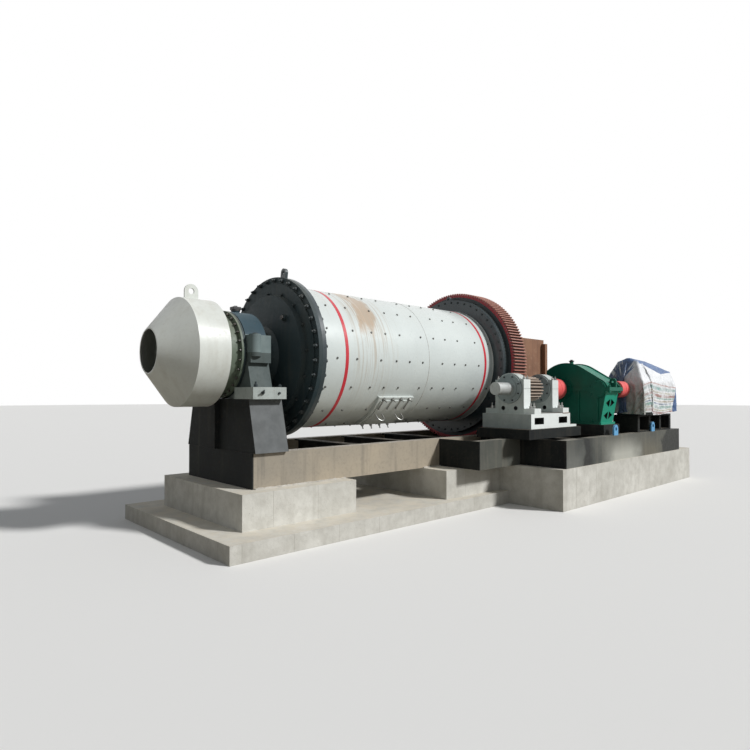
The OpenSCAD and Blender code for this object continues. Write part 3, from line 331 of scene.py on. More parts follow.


# the drum's off-white paint, with the brown wash over its first third and thin runs round the shell, and
# painted shade darkening its lower part
def makeShellPaint():
    look = paint(
        (0.640, 0.695, 0.680), (0.590, 0.642, 0.630), (0.36, 0.35, 0.30), (0.60, 0.55, 0.46), (0.24, 0.42),
        rust=(0.30, 0.17, 0.10), dust=0.18, runs=0.0, speck=0.10, chips=0.10, bump=0.10, fine=16.0)
    stain = {"start": 0.76, "end": 1.11, "runsEnd": 1.42, "topFrom": axisZ + 0.30}
    paintedEnds = {"feed": 0.1145, "discharge": 3.5500, "radius": 0.9365}
    material, shader, coords, colour = weatheredPaint("shellWhite", look)
    x, y, z = parts(coords)
    around = grain(coords, 1.0, 7.0, (34.0, 1.1, 1.1), 0.6)
    patch = grain(coords, 2.2, 6.0, (1.6, 1.0, 1.0))
    # the wash lies between two distances from the feed flange, thick near the top and in runs below
    shift = times(sums("SUBTRACT", patch, 0.5), 0.55)
    bandX = sums("ADD", x, shift)
    thickBand = times(between(bandX, stain["start"], stain["start"] + 0.06),
                      between(bandX, stain["end"], stain["end"] - 0.07))
    top = between(sums("ADD", z, shift), stain["topFrom"], stain["topFrom"] + 0.12)
    thick = times(thickBand, top, between(around, 0.30, 0.44, 0.45, 0.9))
    colour = mixColour(thick, colour, (0.44, 0.315, 0.205))
    inBand = times(between(x, 0.60, 0.72), between(x, stain["runsEnd"], stain["runsEnd"] - 0.30))
    high = between(z, axisZ - 0.75, axisZ + 0.35)
    streaks = times(between(around, 0.47, 0.60), high, inBand)
    colour = mixColour(times(streaks, 0.8), colour, (0.42, 0.355, 0.275))
    thin = times(between(around, 0.60, 0.72), between(x, 2.6, 1.2))
    colour = mixColour(times(thin, 0.35), colour, (0.50, 0.44, 0.35))
    # the lower part darkens towards the bottom: painted shade
    low = between(z, axisZ - 0.15, axisZ - 0.95)
    paintedLowShade = times(low, between(grain(coords, 3.0, 7.0), 0.3, 0.7, 0.3, 0.8))
    colour = mixColour(times(paintedLowShade, 0.62), colour, (0.34, 0.33, 0.29))
    # the two flanges with their lifting eyes are painted with the heads
    onEnd = sums("MAXIMUM", sums("LESS_THAN", x, paintedEnds["feed"]),
                 sums("GREATER_THAN", x, paintedEnds["discharge"]))
    onFlange = times(onEnd, sums("GREATER_THAN", radiusAboutX(coords, 0, axisZ), paintedEnds["radius"]))
    slate = mixColour(between(patch, 0.35, 0.65), (0.016, 0.030, 0.037), (0.036, 0.052, 0.057))
    colour = mixColour(onFlange, colour, slate)
    join(colour, shader.inputs["Base Color"])
    shader.inputs["Coat Weight"].default_value = 0.2
    shader.inputs["Coat Roughness"].default_value = 0.15
    return material


# red oxide on the gear's faces, bare greased steel between the teeth with painted shade darkening it towards
# the roots, worn lands on their tips
def makeGearFinish(name, centreY, centreZ, rootR, tipR, innerR, face, land, flankAndShade):
    look = paint(
        face, tuple(0.72 * c for c in face), (0.05, 0.03, 0.025), (0.42, 0.30, 0.24), (0.38, 0.62), dust=0.2,
        runs=0.15, chips=0.2)
    material, shader, coords, colour = weatheredPaint(name, look)
    radius = radiusAboutX(coords, centreY, centreZ)
    normal = coords.node.outputs["Normal"]
    offFace = between(sums("ABSOLUTE", parts(normal)[0]), 0.7, 0.4)
    # the teeth are darkest at their roots: greased steel and painted shade between the teeth
    depth = between(radius, rootR - 0.003, tipR - 0.006)
    toothColour = mixColour(depth, flankAndShade, tuple(0.6 * a + 0.4 * b for a, b in zip(flankAndShade, land)))
    toothColour = mixColour(between(radius, tipR - 0.004, tipR - 0.001), toothColour, land)
    wearAndPaintedLight = times(offFace, between(radius, rootR - 0.006, rootR - 0.002))
    colour = mixColour(wearAndPaintedLight, colour, toothColour)
    if innerR:
        inner = sums("SUBTRACT", 1.0, between(radius, innerR - 0.002, innerR + 0.002))
        colour = mixColour(inner, colour, (0.022, 0.030, 0.033))
    join(colour, shader.inputs["Base Color"])
    return material


# the drive frame's black plate, with a painted pale sheen along the middle of its length and painted shadow
# bands across it
def makeRailPaint():
    look = paint(
        (0.050, 0.056, 0.053), (0.115, 0.118, 0.100), (0.20, 0.185, 0.15), (0.34, 0.31, 0.26), (0.38, 0.6),
        dust=0.6, runs=0.45, speck=0.2, chips=0.25, broad=0.9, gloss=0.3)
    # where along X each place of painted sheen and tone starts, is full, fades and ends, and below them the
    # same for the bands of painted shadow
    wearAndPaintedLight = (((4.4, 5.1, 5.5, 6.0), 0.72, (0.56, 0.56, 0.50)), ((5.8, 6.1, 6.7, 7.1), 0.30, (0.26, 0.23, 0.16)),
            ((3.2, 3.4, 3.7, 3.9), 0.35, (0.22, 0.23, 0.22)))
    paintedShadowBands = ((3.85, 3.95, 4.1, 4.3), (6.9, 7.0, 20.0, 21.0))
    material, shader, coords, colour = weatheredPaint("railSheen", look)
    x, y, z = parts(coords)
    x = sums("ADD", x, times(sums("SUBTRACT", grain(coords, 1.6, 6.0), 0.5), 1.1))
    low = between(z, skidTop - 0.04, skidTop - 0.30, 0.08, 1.0)
    for (start, full, fade, end), amount, tint in wearAndPaintedLight:
        colour = mixColour(times(between(x, start, full), between(x, end, fade), low, amount), colour, tint)
    # dark bands across the plate: painted shadow
    for start, full, fade, end in paintedShadowBands:
        colour = mixColour(times(between(x, start, full), between(x, end, fade), 0.8), colour, gloomy)
    join(colour, shader.inputs["Base Color"])
    return material


# cast concrete with board marks, drips from its top edge and pores
def makeConcrete(name, pale, grey, wet):
    material, shader, coords, normal = startMaterial(name)
    formBoard = 0.61
    colour = mixColour(between(grain(coords, 1.1, 7.0), 0.32, 0.68), pale, grey)
    cloudy = between(grain(coords, 6.0, 9.0, rough=0.65), 0.4, 0.75)
    colour = mixColour(times(cloudy, 0.62), colour, wet)
    drips = between(grain(coords, 7.0, 6.0, (1.0, 1.0, 0.10)), 0.52, 0.74)
    colour = mixColour(times(drips, 0.35), colour, wet)
    along = sums("FRACT", times(parts(coords)[0], 1 / formBoard))
    onSide = between(sums("ABSOLUTE", parts(normal)[1]), 0.5, 0.9)
    board = times(between(away(along, 0.5), 0.488, 0.497), onSide)
    colour = mixColour(times(board, 0.35), colour, wet)
    pores = between(grain(coords, 55.0, 4.0, rough=0.7), 0.64, 0.70)
    colour = mixColour(times(pores, 0.5), colour, (0.16, 0.15, 0.13))
    colour = mixColour(topDust(normal, coords, 0.65), colour, siteDust)
    join(colour, shader.inputs["Base Color"])
    shader.inputs["Roughness"].default_value = 0.9
    rough = sums("ADD", grain(coords, 30.0, 10.0, rough=0.7), times(board, -0.6))
    addBump(shader, rough, 0.55, 0.006)
    return material


# plate without paint: brown rust in broad clouds, with paler worn places
def makeRustPlate(name, colours, roughness):
    material, shader, coords, normal = startMaterial(name)
    colour = mixColour(between(grain(coords, 2.2, 8.0), 0.35, 0.66), colours[0], colours[1])
    colour = mixColour(between(grain(coords, 13.0, 9.0, rough=0.7), 0.52, 0.76), colour, colours[2])
    runs = between(grain(coords, 10.0, 6.0, (1, 1, 0.06)), 0.5, 0.72)
    colour = mixColour(times(runs, 0.5), colour, colours[3])
    join(colour, shader.inputs["Base Color"])
    shader.inputs["Roughness"].default_value = roughness
    addBump(shader, grain(coords, 40.0, 8.0), 0.3, 0.002)
    return material


# turned steel: fine rings round the shaft under a thin coat
def makeShaftSteel():
    material, shader, coords, normal = startMaterial("shaftSteel", 0.35)
    rings = grain(coords, 1.0, 5.0, (220.0, 2.0, 2.0))
    colour = mixColour(between(rings, 0.35, 0.7), (0.58, 0.60, 0.59), (0.42, 0.44, 0.43))
    colour = mixColour(times(between(grain(coords, 14.0, 9.0), 0.6, 0.7), 0.4),
                       colour, (0.24, 0.15, 0.09))
    join(colour, shader.inputs["Base Color"])
    join(between(rings, 0.3, 0.7, 0.25, 0.45), shader.inputs["Roughness"])
    addBump(shader, rings, 0.12, 0.001)
    return material


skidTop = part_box("drive_frame_rails")[1].z
finishes["shellWhite"] = makeShellPaint()
finishes["railSheen"] = makeRailPaint()
teeth = {"gearRoot": 1.228, "gearTip": 1.264, "rimInside": 1.198, "pinionRoot": 0.156, "pinionTip": 0.192}
finishes["gearRed"] = makeGearFinish("gearRed", 0.0, axisZ, teeth["gearRoot"], teeth["gearTip"],
                                     teeth["rimInside"], (0.47, 0.042, 0.055), (0.46, 0.20, 0.15),
                                     (0.045, 0.022, 0.018))
finishes["pinionSteel"] = makeGearFinish("pinionSteel", pinionY, pinionZ, teeth["pinionRoot"],
                                         teeth["pinionTip"], 0, (0.16, 0.125, 0.10), (0.50, 0.40, 0.32),
                                         (0.06, 0.04, 0.03))
finishes["concrete"] = makeConcrete("concrete", (0.69, 0.68, 0.63), (0.53, 0.52, 0.475), (0.36, 0.345, 0.30))
finishes["hoodRust"] = makeRustPlate("hoodRust", ((0.27, 0.135, 0.075), (0.20, 0.095, 0.052),
                                                  (0.34, 0.20, 0.12), (0.11, 0.052, 0.03)), 0.72)
finishes["shaftSteel"] = makeShaftSteel()
finishes["weldBead"] = makeRustPlate("weldBead", ((0.62, 0.65, 0.63), (0.50, 0.53, 0.51),
                                                  (0.36, 0.34, 0.30), (0.33, 0.27, 0.20)), 0.5)
finishes["mortar"] = makeConcrete("mortar", (0.60, 0.58, 0.54), (0.46, 0.44, 0.40), (0.33, 0.30, 0.26))

nodeFinish = {
    "concrete": ["foundation_slab", "feed_plinth", "discharge_plinth", "drive_plinth"],
    "skidDustAndReflection": ["skid_beam_front", "skid_beam_back"],
    "railSheen": ["drive_frame_rails"],
    "frameBlack": ["skid_cross_beams", "drive_frame_cross_beams", "pinion_packing", "reducer_packing",
                   "motor_stand"],
    "pedestalBlack": ["feed_pedestal", "discharge_pedestal"],
    "basePale": ["feed_bearing_base", "discharge_bearing_base"],
    "bearingGrey": ["feed_bearing_housing", "discharge_bearing_housing"],
    "capBlue": ["feed_bearing_cap", "discharge_bearing_cap"],
    "shellWhite": ["shell", "manhole_cover"],
    "feederCream": ["feeder_drum"],
    "headSlate": ["feed_head", "discharge_head"],
    "ringOlive": ["feeder_ring"],
    "gearRed": ["girth_gear"],
    "pinionSteel": ["pinion"],
    "shaftSteel": ["pinion_shaft", "reducer_output_shaft", "motor_shaft"],
    "blockGrey": ["pinion_block_front", "pinion_block_rear"],
    "coverSlate": ["pinion_block_covers"],
    "baseWhite": ["pinion_base"],
    "couplingRed": ["drive_coupling", "motor_coupling"],
    "reducerGreen": ["reducer_case", "reducer_cover", "reducer_bearing_covers"],
    "motorPaint": ["motor"],
    "hoodRust": ["discharge_hood"],
    "eyeBlue": ["frame_lifting_eyes"],
}
for finish, nodes in nodeFinish.items():
    for node in nodes:
        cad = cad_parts[node]
        cad.data.materials.clear()
        cad.data.materials.append(finishes[finish])
print("materials on the CAD nodes")


# a point on the drum; the angle goes up from the level on the drive side
def onDrum(x, radius, angle):
    a = math.radians(angle)
    return Vector((x, -radius * math.cos(a), axisZ + radius * math.sin(a)))


def outward(angle):
    a = math.radians(angle)
    return Vector((0, -math.cos(a), math.sin(a)))


# a frame whose Z looks out of the surface
def seat(place, look, turn=0.0):
    facing = look.to_track_quat("Z", "Y").to_matrix().to_4x4()
    return Matrix.Translation(place) @ facing @ Matrix.Rotation(turn, 4, "Z")


def disc(bm, at, low, high, radius, segments=12, topRadius=None):
    bmesh.ops.create_cone(bm, cap_ends=True, cap_tris=False, segments=segments, radius1=radius,
                          radius2=radius if topRadius is None else topRadius, depth=high - low,
                          matrix=at @ Matrix.Translation((0, 0, (low + high) / 2)))


# washer, hexagon nut and the end of its stud; sizes are shares of the width across flats
def addNut(bm, place, look, across, stud=0.35, washer=0.78, tall=0.66):
    at = seat(place, look, dice.uniform(0, 1.05))
    base = 0.0
    if washer:
        disc(bm, at, -0.002, across * 0.10, across * washer, 12)
        base = across * 0.09
    corner = across / math.sqrt(3)
    disc(bm, at, base - 0.001, base + across * tall, corner, 6)
    disc(bm, at, base + across * (tall - 0.01), base + across * (tall + 0.12), corner * 0.97, 6, corner * 0.80)
    if stud:
        end = base + across * (tall + 0.14 + stud)
        disc(bm, at, base + across * tall, end, across * 0.29, 8, across * 0.26)


def addBox(bm, low, high, bevel=0.0):
    size = [b - a for a, b in zip(low, high)]
    middle = [(a + b) / 2 for a, b in zip(low, high)]
    made = bmesh.ops.create_cube(bm, size=1, matrix=Matrix.Translation(middle) @ Matrix.Diagonal((*size, 1)))
    if bevel:
        edges = list({e for v in made["verts"] for e in v.link_edges})
        bmesh.ops.bevel(bm, geom=edges, offset=bevel, segments=2, profile=0.5, affect="EDGES", material=-1)


# a closed profile, given as (x, radius), spun round an axis that lies along X
def spinRing(bm, profile, centreY, centreZ, steps=96):
    verts = [bm.verts.new((x, centreY, centreZ + r)) for x, r in profile]
    edges = [bm.edges.new((verts[i], verts[(i + 1) % len(verts)])) for i in range(len(verts))]
    bmesh.ops.spin(bm, geom=verts + edges, cent=(0, centreY, centreZ), axis=(1, 0, 0), dvec=(0, 0, 0),
                   angle=2 * math.pi, steps=steps, use_merge=True, use_duplicate=False)


def addObject(name, bm):
    mesh = bpy.data.meshes.new(name)
    bm.to_mesh(mesh)
    bm.free()
    made = bpy.data.objects.new(name, mesh)
    scene.collection.objects.link(made)
    return made


def finishPiece(name, bm, finish, body, smooth=False):
    bmesh.ops.recalc_face_normals(bm, faces=bm.faces)
    piece = addObject(name, bm)
    if smooth:
        piece.data.shade_smooth()
        piece.data.set_sharp_from_angle(angle=math.radians(38))
    piece.data.materials.append(finishes[finish])
    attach(piece, body)


drumAxis, pinionAxis, motorAxis = (0, axisZ), (pinionY, pinionZ), (motorY, pinionZ)


# nuts in a ring round an axis that lies along X; each side is given as (x, way it faces, sizes of its nuts)
def ringOfNuts(bm, axis, count, radius, first, sides, way=1):
    for i in range(count):
        a = math.radians(first + i * 360 / count)
        for x, look, sizes in sides:
            place = Vector((x, axis[0] + way * radius * math.cos(a), axis[1] + radius * math.sin(a)))
            addNut(bm, place, Vector((look, 0, 0)), *sizes)


drumRings = {
    "feedFlangeNuts": {"slot": "head_slate", "count": 36, "radius": 0.990, "first": 5.0,
                       "sides": [(headHigh.x - 0.057, -1, (0.042, 0.5)), (headHigh.x + 0.057, 1, (0.042, 0))]},
    "gearFlangeNuts": {"slot": "gear_red", "count": 48, "radius": 1.092, "first": 3.75,
                       "sides": [(shellHigh.x - 0.057, -1, (0.030, 0, 0, 0.30)),
                                 (gearLow.x + 0.060, 1, (0.042, 0.5))]},
    "headLinerNuts": {"slot": "head_slate", "count": 16, "radius": 0.822, "first": 3.0,
                      "sides": [(-0.015, -1, (0.028, 0.2)), (shellHigh.x + 0.080, 1, (0.028, 0.2))]},
}
for name, ring in drumRings.items():
    bm = bmesh.new()
    ringOfNuts(bm, drumAxis, ring["count"], ring["radius"], ring["first"], ring["sides"], -1)
    finishPiece(name, bm, "slateNut", "drum")

# rows of liner bolts: two patterns along the shell that take turns round it and leave the manhole free
cover = {"x0": 1.170, "x1": 1.840, "angle": -51.5, "arc": 37.0, "clear": 22.0, "radius": 0.9733,
         "across": 0.034}
linerBolts = {"rows": 16, "firstAngle": -2.4, "across": 0.024, "radius": 0.9345,
              "even": [0.352, 0.672, 1.088, 1.372, 1.628, 1.894, 2.315, 2.595, 2.852, 3.183],
              "odd": [0.228, 0.643, 0.964, 1.216, 1.484, 1.906, 2.178, 2.437, 2.725, 3.152, 3.490]}
bm = bmesh.new()
for row in range(linerBolts["rows"]):
    angle = linerBolts["firstAngle"] + row * 360 / linerBolts["rows"]
    nearCover = abs((angle - cover["angle"] + 180) % 360 - 180) < cover["clear"]
    for x in linerBolts["odd" if row % 2 else "even"]:
        if not (nearCover and cover["x0"] - 0.05 < x < cover["x1"] + 0.06):
            place = onDrum(x, linerBolts["radius"], angle)
            addNut(bm, place, outward(angle), linerBolts["across"], 0, 0.62, 0.36)
finishPiece("linerNuts", bm, "linerNut", "drum")
print("drum nuts")

bands = {"radius": 0.935, "stripes": (0.511, 3.360), "stripeHalf": 0.025, "seam": 2.038, "feedEnd": 0.114,
         "dischargeEnd": 3.558}
r = bands["radius"]
bm = bmesh.new()
for x in bands["stripes"]:
    low, high = x - bands["stripeHalf"], x + bands["stripeHalf"]
    spinRing(bm, [(low, r - 0.004), (high, r - 0.004), (high, r + 0.0016), (low, r + 0.0016)], 0, axisZ, 180)
finishPiece("redStripes", bm, "stripeRed", "drum", True)

bm = bmesh.new()
x = bands["seam"]
spinRing(bm, [(x - 0.009, r - 0.004), (x + 0.009, r - 0.004), (x + 0.006, r + 0.0025), (x - 0.006, r + 0.0025)],
         0, axisZ, 180)
for x, side in ((bands["feedEnd"], 1), (bands["dischargeEnd"], -1)):
    root = x - side * 0.003
    spinRing(bm, [(root, r - 0.004), (x + side * 0.016, r - 0.004), (root, r + 0.014)], 0, axisZ, 180)
finishPiece("shellWelds", bm, "weldBead", "drum", True)

# bolts along the manhole cover, with a clamp rod over the cover beside each upper one
bm = bmesh.new()
half = cover["arc"] / 2 - 1.4
for i in range(4):
    x = cover["x0"] + 0.09 + i * (cover["x1"] - cover["x0"] - 0.18) / 3
    for side in (-1, 1):
        angle = cover["angle"] + side * half
        addNut(bm, onDrum(x, cover["radius"], angle), outward(angle), cover["across"], 1.2)
    angle = cover["angle"] + half - 1.0
    a = math.radians(angle)
    rod = seat(onDrum(x - 0.012, cover["radius"] + 0.018, angle), Vector((-0.10, -math.sin(a), -math.cos(a))))
    disc(bm, rod, -0.004, 0.135, 0.0085, 10)
    disc(bm, rod, 0.128, 0.146, 0.016, 6)
finishPiece("coverNuts", bm, "zincNut", "drum")


# a round bar bent to a bow: up one leg, round the bend and down the other
def bowHandle(bm, middle, along, up, span, rise, thick):
    side = along.cross(up)
    at = Matrix((along, up, side)).transposed().to_4x4()
    at.translation = middle
    foot = Matrix.Translation((span / 2, 0, 0)) @ Matrix.Rotation(math.pi / 2, 4, "X")
    leg = up * (rise - span / 2)
    ring = bmesh.ops.create_circle(bm, segments=8, radius=thick / 2, cap_ends=False, matrix=at @ foot)
    start = list({e for v in ring["verts"] for e in v.link_edges})
    grown = bmesh.ops.extrude_edge_only(bm, edges=start)["geom"]
    verts = [g for g in grown if isinstance(g, bmesh.types.BMVert)]
    bmesh.ops.translate(bm, verts=verts, vec=leg)
    edges = [g for g in grown if isinstance(g, bmesh.types.BMEdge)]
    bend = bmesh.ops.spin(bm, geom=verts + edges, cent=middle + leg, axis=side, dvec=(0, 0, 0),
                          angle=math.pi, steps=10, use_merge=False, use_duplicate=False)["geom_last"]
    bent = [g for g in bend if isinstance(g, bmesh.types.BMEdge)]
    grown = bmesh.ops.extrude_edge_only(bm, edges=bent)["geom"]
    bmesh.ops.translate(bm, verts=[g for g in grown if isinstance(g, bmesh.types.BMVert)], vec=-leg)


handles = {"places": [1.330, 1.700], "angle": -50.5, "span": 0.12, "rise": 0.11, "thick": 0.018,
           "radius": 0.986}
bm = bmesh.new()
for x in handles["places"]:
    bowHandle(bm, onDrum(x, handles["radius"], handles["angle"]), Vector((1, 0, 0)), outward(handles["angle"]),
              handles["span"], handles["rise"], handles["thick"])
finishPiece("coverHandles", bm, "zincNut", "drum", True)

# bolted ring between the feeder and the trunnion
ringBolts = {"count": 28, "radius": 0.505, "first": 2.66, "across": 0.024, "proud": 0.026}
sides = [(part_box("feeder_ring")[1].x - ringBolts["proud"], -1, (ringBolts["across"], 0.3)),
         (headLow.x + ringBolts["proud"], 1, (ringBolts["across"], 0))]
bm = bmesh.new()
ringOfNuts(bm, drumAxis, ringBolts["count"], ringBolts["radius"], ringBolts["first"], sides, -1)
finishPiece("feederRingNuts", bm, "nutSteel", "drum")

# hexagon head of the plug on the feed head
plug = {"x": -0.135, "radius": 0.647, "angle": 45.0, "size": 0.030}
bm = bmesh.new()
place = seat(onDrum(plug["x"], plug["radius"], plug["angle"]), Vector((-1, 0, 0)), 0.3)
disc(bm, place, -0.002, 0.018, plug["size"], 6)
finishPiece("headPlug", bm, "nutSteel", "drum")

# bolts that hold the two halves of the girth gear together
gearJoint = {"places": (3.78, 3.86, 3.94), "y": 1.163, "rise": 0.060, "across": 0.028}
bm = bmesh.new()
for side in (-1, 1):
    for x in gearJoint["places"]:
        for face in (-1, 1):
            place = Vector((x, side * gearJoint["y"], axisZ + face * gearJoint["rise"]))
            addNut(bm, place, Vector((0, 0, face)), gearJoint["across"], 0.3)
finishPiece("gearHalfBolts", bm, "nutSteel", "drum")
print("drum details")

# each main bearing's middle and the way its outer side faces, then its nuts and breather
upright = Vector((0, 0, 1))
bearings = {"middles": {"feed": (-0.520, -1), "discharge": (4.400, 1)}, "bossX": 0.067, "bossY": 0.582,
            "bossTop": 0.213, "footY": 0.745, "breatherTop": 0.555}
for end, (x, outer) in bearings["middles"].items():
    low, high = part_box(end + "_bearing_base")
    middle = (low.z + high.z) / 2
    bm = bmesh.new()
    for side in (-1, 1):
        boss = Vector((x + outer * bearings["bossX"], side * bearings["bossY"], axisZ + bearings["bossTop"]))
        addNut(bm, boss, upright, 0.060, 0, 0, 0.12)
        addNut(bm, Vector((x + outer * 0.155, side * bearings["footY"], high.z)), upright, 0.040, 0.7)
        addNut(bm, Vector((x - outer * 0.165, side * bearings["footY"], high.z)), upright, 0.034, 0.2)
        tilted = Vector((outer * 0.35, side, 0.45)).normalized()
        addNut(bm, Vector((x + outer * 0.095, side * high.y, middle)), tilted, 0.036, 1.3, 0)
        addNut(bm, Vector((x - outer * 0.120, side * high.y, middle)), Vector((0, side, 0)), 0.026, 0, 0)
    finishPiece(end + "BearingNuts", bm, "slateNut", "root")
    bm = bmesh.new()
    top = axisZ + bearings["breatherTop"]
    disc(bm, seat(Vector((x, 0, top)), upright), -0.01, 0.010, 0.058, 24)
    addBox(bm, (x - 0.055, -0.050, top + 0.004), (x + 0.055, 0.050, top + 0.046), 0.008)
    disc(bm, seat(Vector((x, 0, top + 0.046)), upright), -0.002, 0.012, 0.022, 12)
    finishPiece(end + "Breather", bm, "breatherBlack", "root")
print("bearing details")

# the mortar bed squeezed out under the skid beams on the two plinths
mortar = {"half": 0.024, "rise": 0.013, "lumps": 0.011, "wander": 0.012, "cuts": 90}
beamLow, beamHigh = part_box("skid_beam_front")
bm = bmesh.new()
for plinth in ("feed_plinth", "discharge_plinth"):
    plinthLow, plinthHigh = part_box(plinth)
    x0, x1 = max(plinthLow.x, beamLow.x) + 0.01, min(plinthHigh.x, beamHigh.x) - 0.01
    for y in (beamLow.y, -beamLow.y):
        addBox(bm, (x0, y - mortar["half"], plinthHigh.z - 0.004),
               (x1, y + mortar["half"], plinthHigh.z + mortar["rise"]))
long = [e for e in bm.edges if e.calc_length() > 0.3]
bmesh.ops.subdivide_edges(bm, edges=long, cuts=mortar["cuts"], use_grid_fill=True)
for v in bm.verts:
    if v.co.z > plinthHigh.z:
        v.co += Vector((0, mortar["wander"] * noise.noise(v.co * 17.0),
                        mortar["lumps"] * noise.noise(v.co * 31.0)))
    else:
        v.co.y += mortar["wander"] * noise.noise(v.co * 17.0)
finishPiece("skidMortar", bm, "mortar", "root")

blockBolts = {"footY": 0.345, "footTop": 0.080, "capY": 0.228, "capTop": 0.140, "apart": 0.045}
bm = bmesh.new()
for low, high in blocks:
    middle = (low.x + high.x) / 2
    for side in (-1, 1):
        for x in (middle - blockBolts["apart"], middle + blockBolts["apart"]):
            foot = Vector((x, pinionY + side * blockBolts["footY"], low.z + blockBolts["footTop"]))
            addNut(bm, foot, upright, 0.044, 1.0)
            cap = Vector((x, pinionY + side * blockBolts["capY"], pinionZ + blockBolts["capTop"]))
            addNut(bm, cap, upright, 0.034, 0.8, 0.7)
finishPiece("blockNuts", bm, "zincNut", "root")

# bolts of the round covers, and dark rings round them as painted shade in their joints; the cover beside the
# drum's flange is the small one
(frontLow, frontHigh), (rearLow, rearHigh) = blocks
covers = {"thick": 0.024, "bolts": 8, "across": 0.022, "edge": 0.034,
          "places": [(frontLow.x, -1, 0.190), (frontHigh.x, 1, 0.160), (rearLow.x, -1, 0.190),
                     (rearHigh.x, 1, 0.190)]}
bm = bmesh.new()
for x, look, ring in covers["places"]:
    side = (x + look * covers["thick"], look, (covers["across"], 0, 0))
    ringOfNuts(bm, pinionAxis, covers["bolts"], ring, 22.5, [side])
finishPiece("blockCoverBolts", bm, "slateNut", "root")

# dark rings round the covers: painted shade in their joints
bm = bmesh.new()
for x, look, ring in covers["places"]:
    r = ring + covers["edge"]
    back, front = x - look * 0.002, x + look * 0.004
    spinRing(bm, [(back, r - 0.02), (front, r - 0.02), (front, r), (back, r)], pinionY, pinionZ, 64)
finishPiece("coverJointShade", bm, "breatherBlack", "root", True)

bm = bmesh.new()
for side in (-1, 1):
    addNut(bm, Vector((baseHigh.x - 0.10, pinionY + side * 0.36, baseLow.z + 0.035)), upright, 0.046, 1.0)
finishPiece("baseNuts", bm, "zincNut", "root")

bm = bmesh.new()
addBox(bm, (rearLow.x - 0.006, rearLow.y - 0.006, rearLow.z - 0.005),
       (rearHigh.x + 0.006, rearHigh.y + 0.006, rearLow.z + 0.005))
finishPiece("blockShim", bm, "shimBrown", "root")

couplings = {"drive": ("pinion_line", pinionAxis, 8, 0.150), "motor": ("motor_line", motorAxis, 6, 0.118)}
for name, (body, axis, count, radius) in couplings.items():
    low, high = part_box(name + "_coupling")
    bm = bmesh.new()
    ringOfNuts(bm, axis, count, radius, 0, [(low.x, -1, (0.024, 0.4, 0)), (high.x, 1, (0.024, 0.4, 0))])
    finishPiece(name + "CouplingPins", bm, "nutSteel", body)
print("pinion line details")

reducer = {"x0": 4.914, "x1": 5.354, "flange": 0.030, "feetY": (-0.55, -0.16, 0.10, 0.24), "coverThick": 0.026,
           "rings": [(pinionAxis, 8, 0.175), (motorAxis, 6, 0.124)]}
bm = bmesh.new()
for y in (caseLow.y + 0.030, caseHigh.y - 0.030):
    for x in (reducer["x0"] + 0.04, reducer["x1"] - 0.04):
        addNut(bm, Vector((x, y, pinionZ + reducer["flange"])), upright, 0.034, 0.6)
        addNut(bm, Vector((x, y, pinionZ - reducer["flange"])), -upright, 0.034, 0.2)
for x in (reducer["x0"] - 0.014, reducer["x1"] + 0.014):
    for y in reducer["feetY"]:
        addNut(bm, Vector((x, pinionY + y, caseLow.z + 0.035)), upright, 0.030, 0.8, 0)
for x, look in ((reducer["x0"] - reducer["coverThick"], -1), (reducer["x1"] + reducer["coverThick"], 1)):
    for axis, count, radius in reducer["rings"]:
        ringOfNuts(bm, axis, count, radius, 22.5, [(x, look, (0.022, 0, 0))])
finishPiece("reducerBolts", bm, "reducerGreen", "root")

bm = bmesh.new()
at = seat(Vector(((reducer["x0"] + reducer["x1"]) / 2, pinionY - 0.080, coverHigh.z)), upright)
disc(bm, at, -0.012, 0.004, 0.045, 20)
disc(bm, at, 0.004, 0.020, 0.022, 12)
finishPiece("reducerBreather", bm, "breatherBlack", "root")
print("reducer details")

# round draws the corners in; form, ridge, apex and lead shape what it falls on; the values from crumple to
# bunch gather it; bands are woven stripes, each by its place across the cloth, half its width and its colour
tarp = {"length": 2.90, "width": 2.32, "round": 0.22, "alongCuts": 116, "acrossCuts": 90, "steps": 56,
        "middle": (6.50, motorY, 2.285), "form": 0.024, "pull": -9.0, "ridge": 0.82, "apex": (6.11, 2.268),
        "lead": 0.070, "caught": 0.05, "thick": 0.012,
        "crumple": 0.024, "looseTop": 2.14, "looseOver": 0.25, "flare": 0.22, "nearHem": 1.262, "farHem": 1.305,
        "hemRise": 0.080, "bunch": 0.35,
        "bands": ((0.024, 0.010, (0.34, 0.14, 0.12)), (0.048, 0.004, (0.50, 0.48, 0.34)),
                  (0.072, 0.010, (0.16, 0.36, 0.31)), (0.096, 0.004, (0.17, 0.24, 0.34)),
                  (0.116, 0.005, (0.36, 0.30, 0.20)), (0.137, 0.004, (0.22, 0.38, 0.32)),
                  (0.157, 0.009, (0.33, 0.15, 0.12)), (0.180, 0.004, (0.46, 0.42, 0.28)),
                  (0.208, 0.010, (0.14, 0.36, 0.33)), (0.240, 0.003, (0.44, 0.20, 0.16)))}


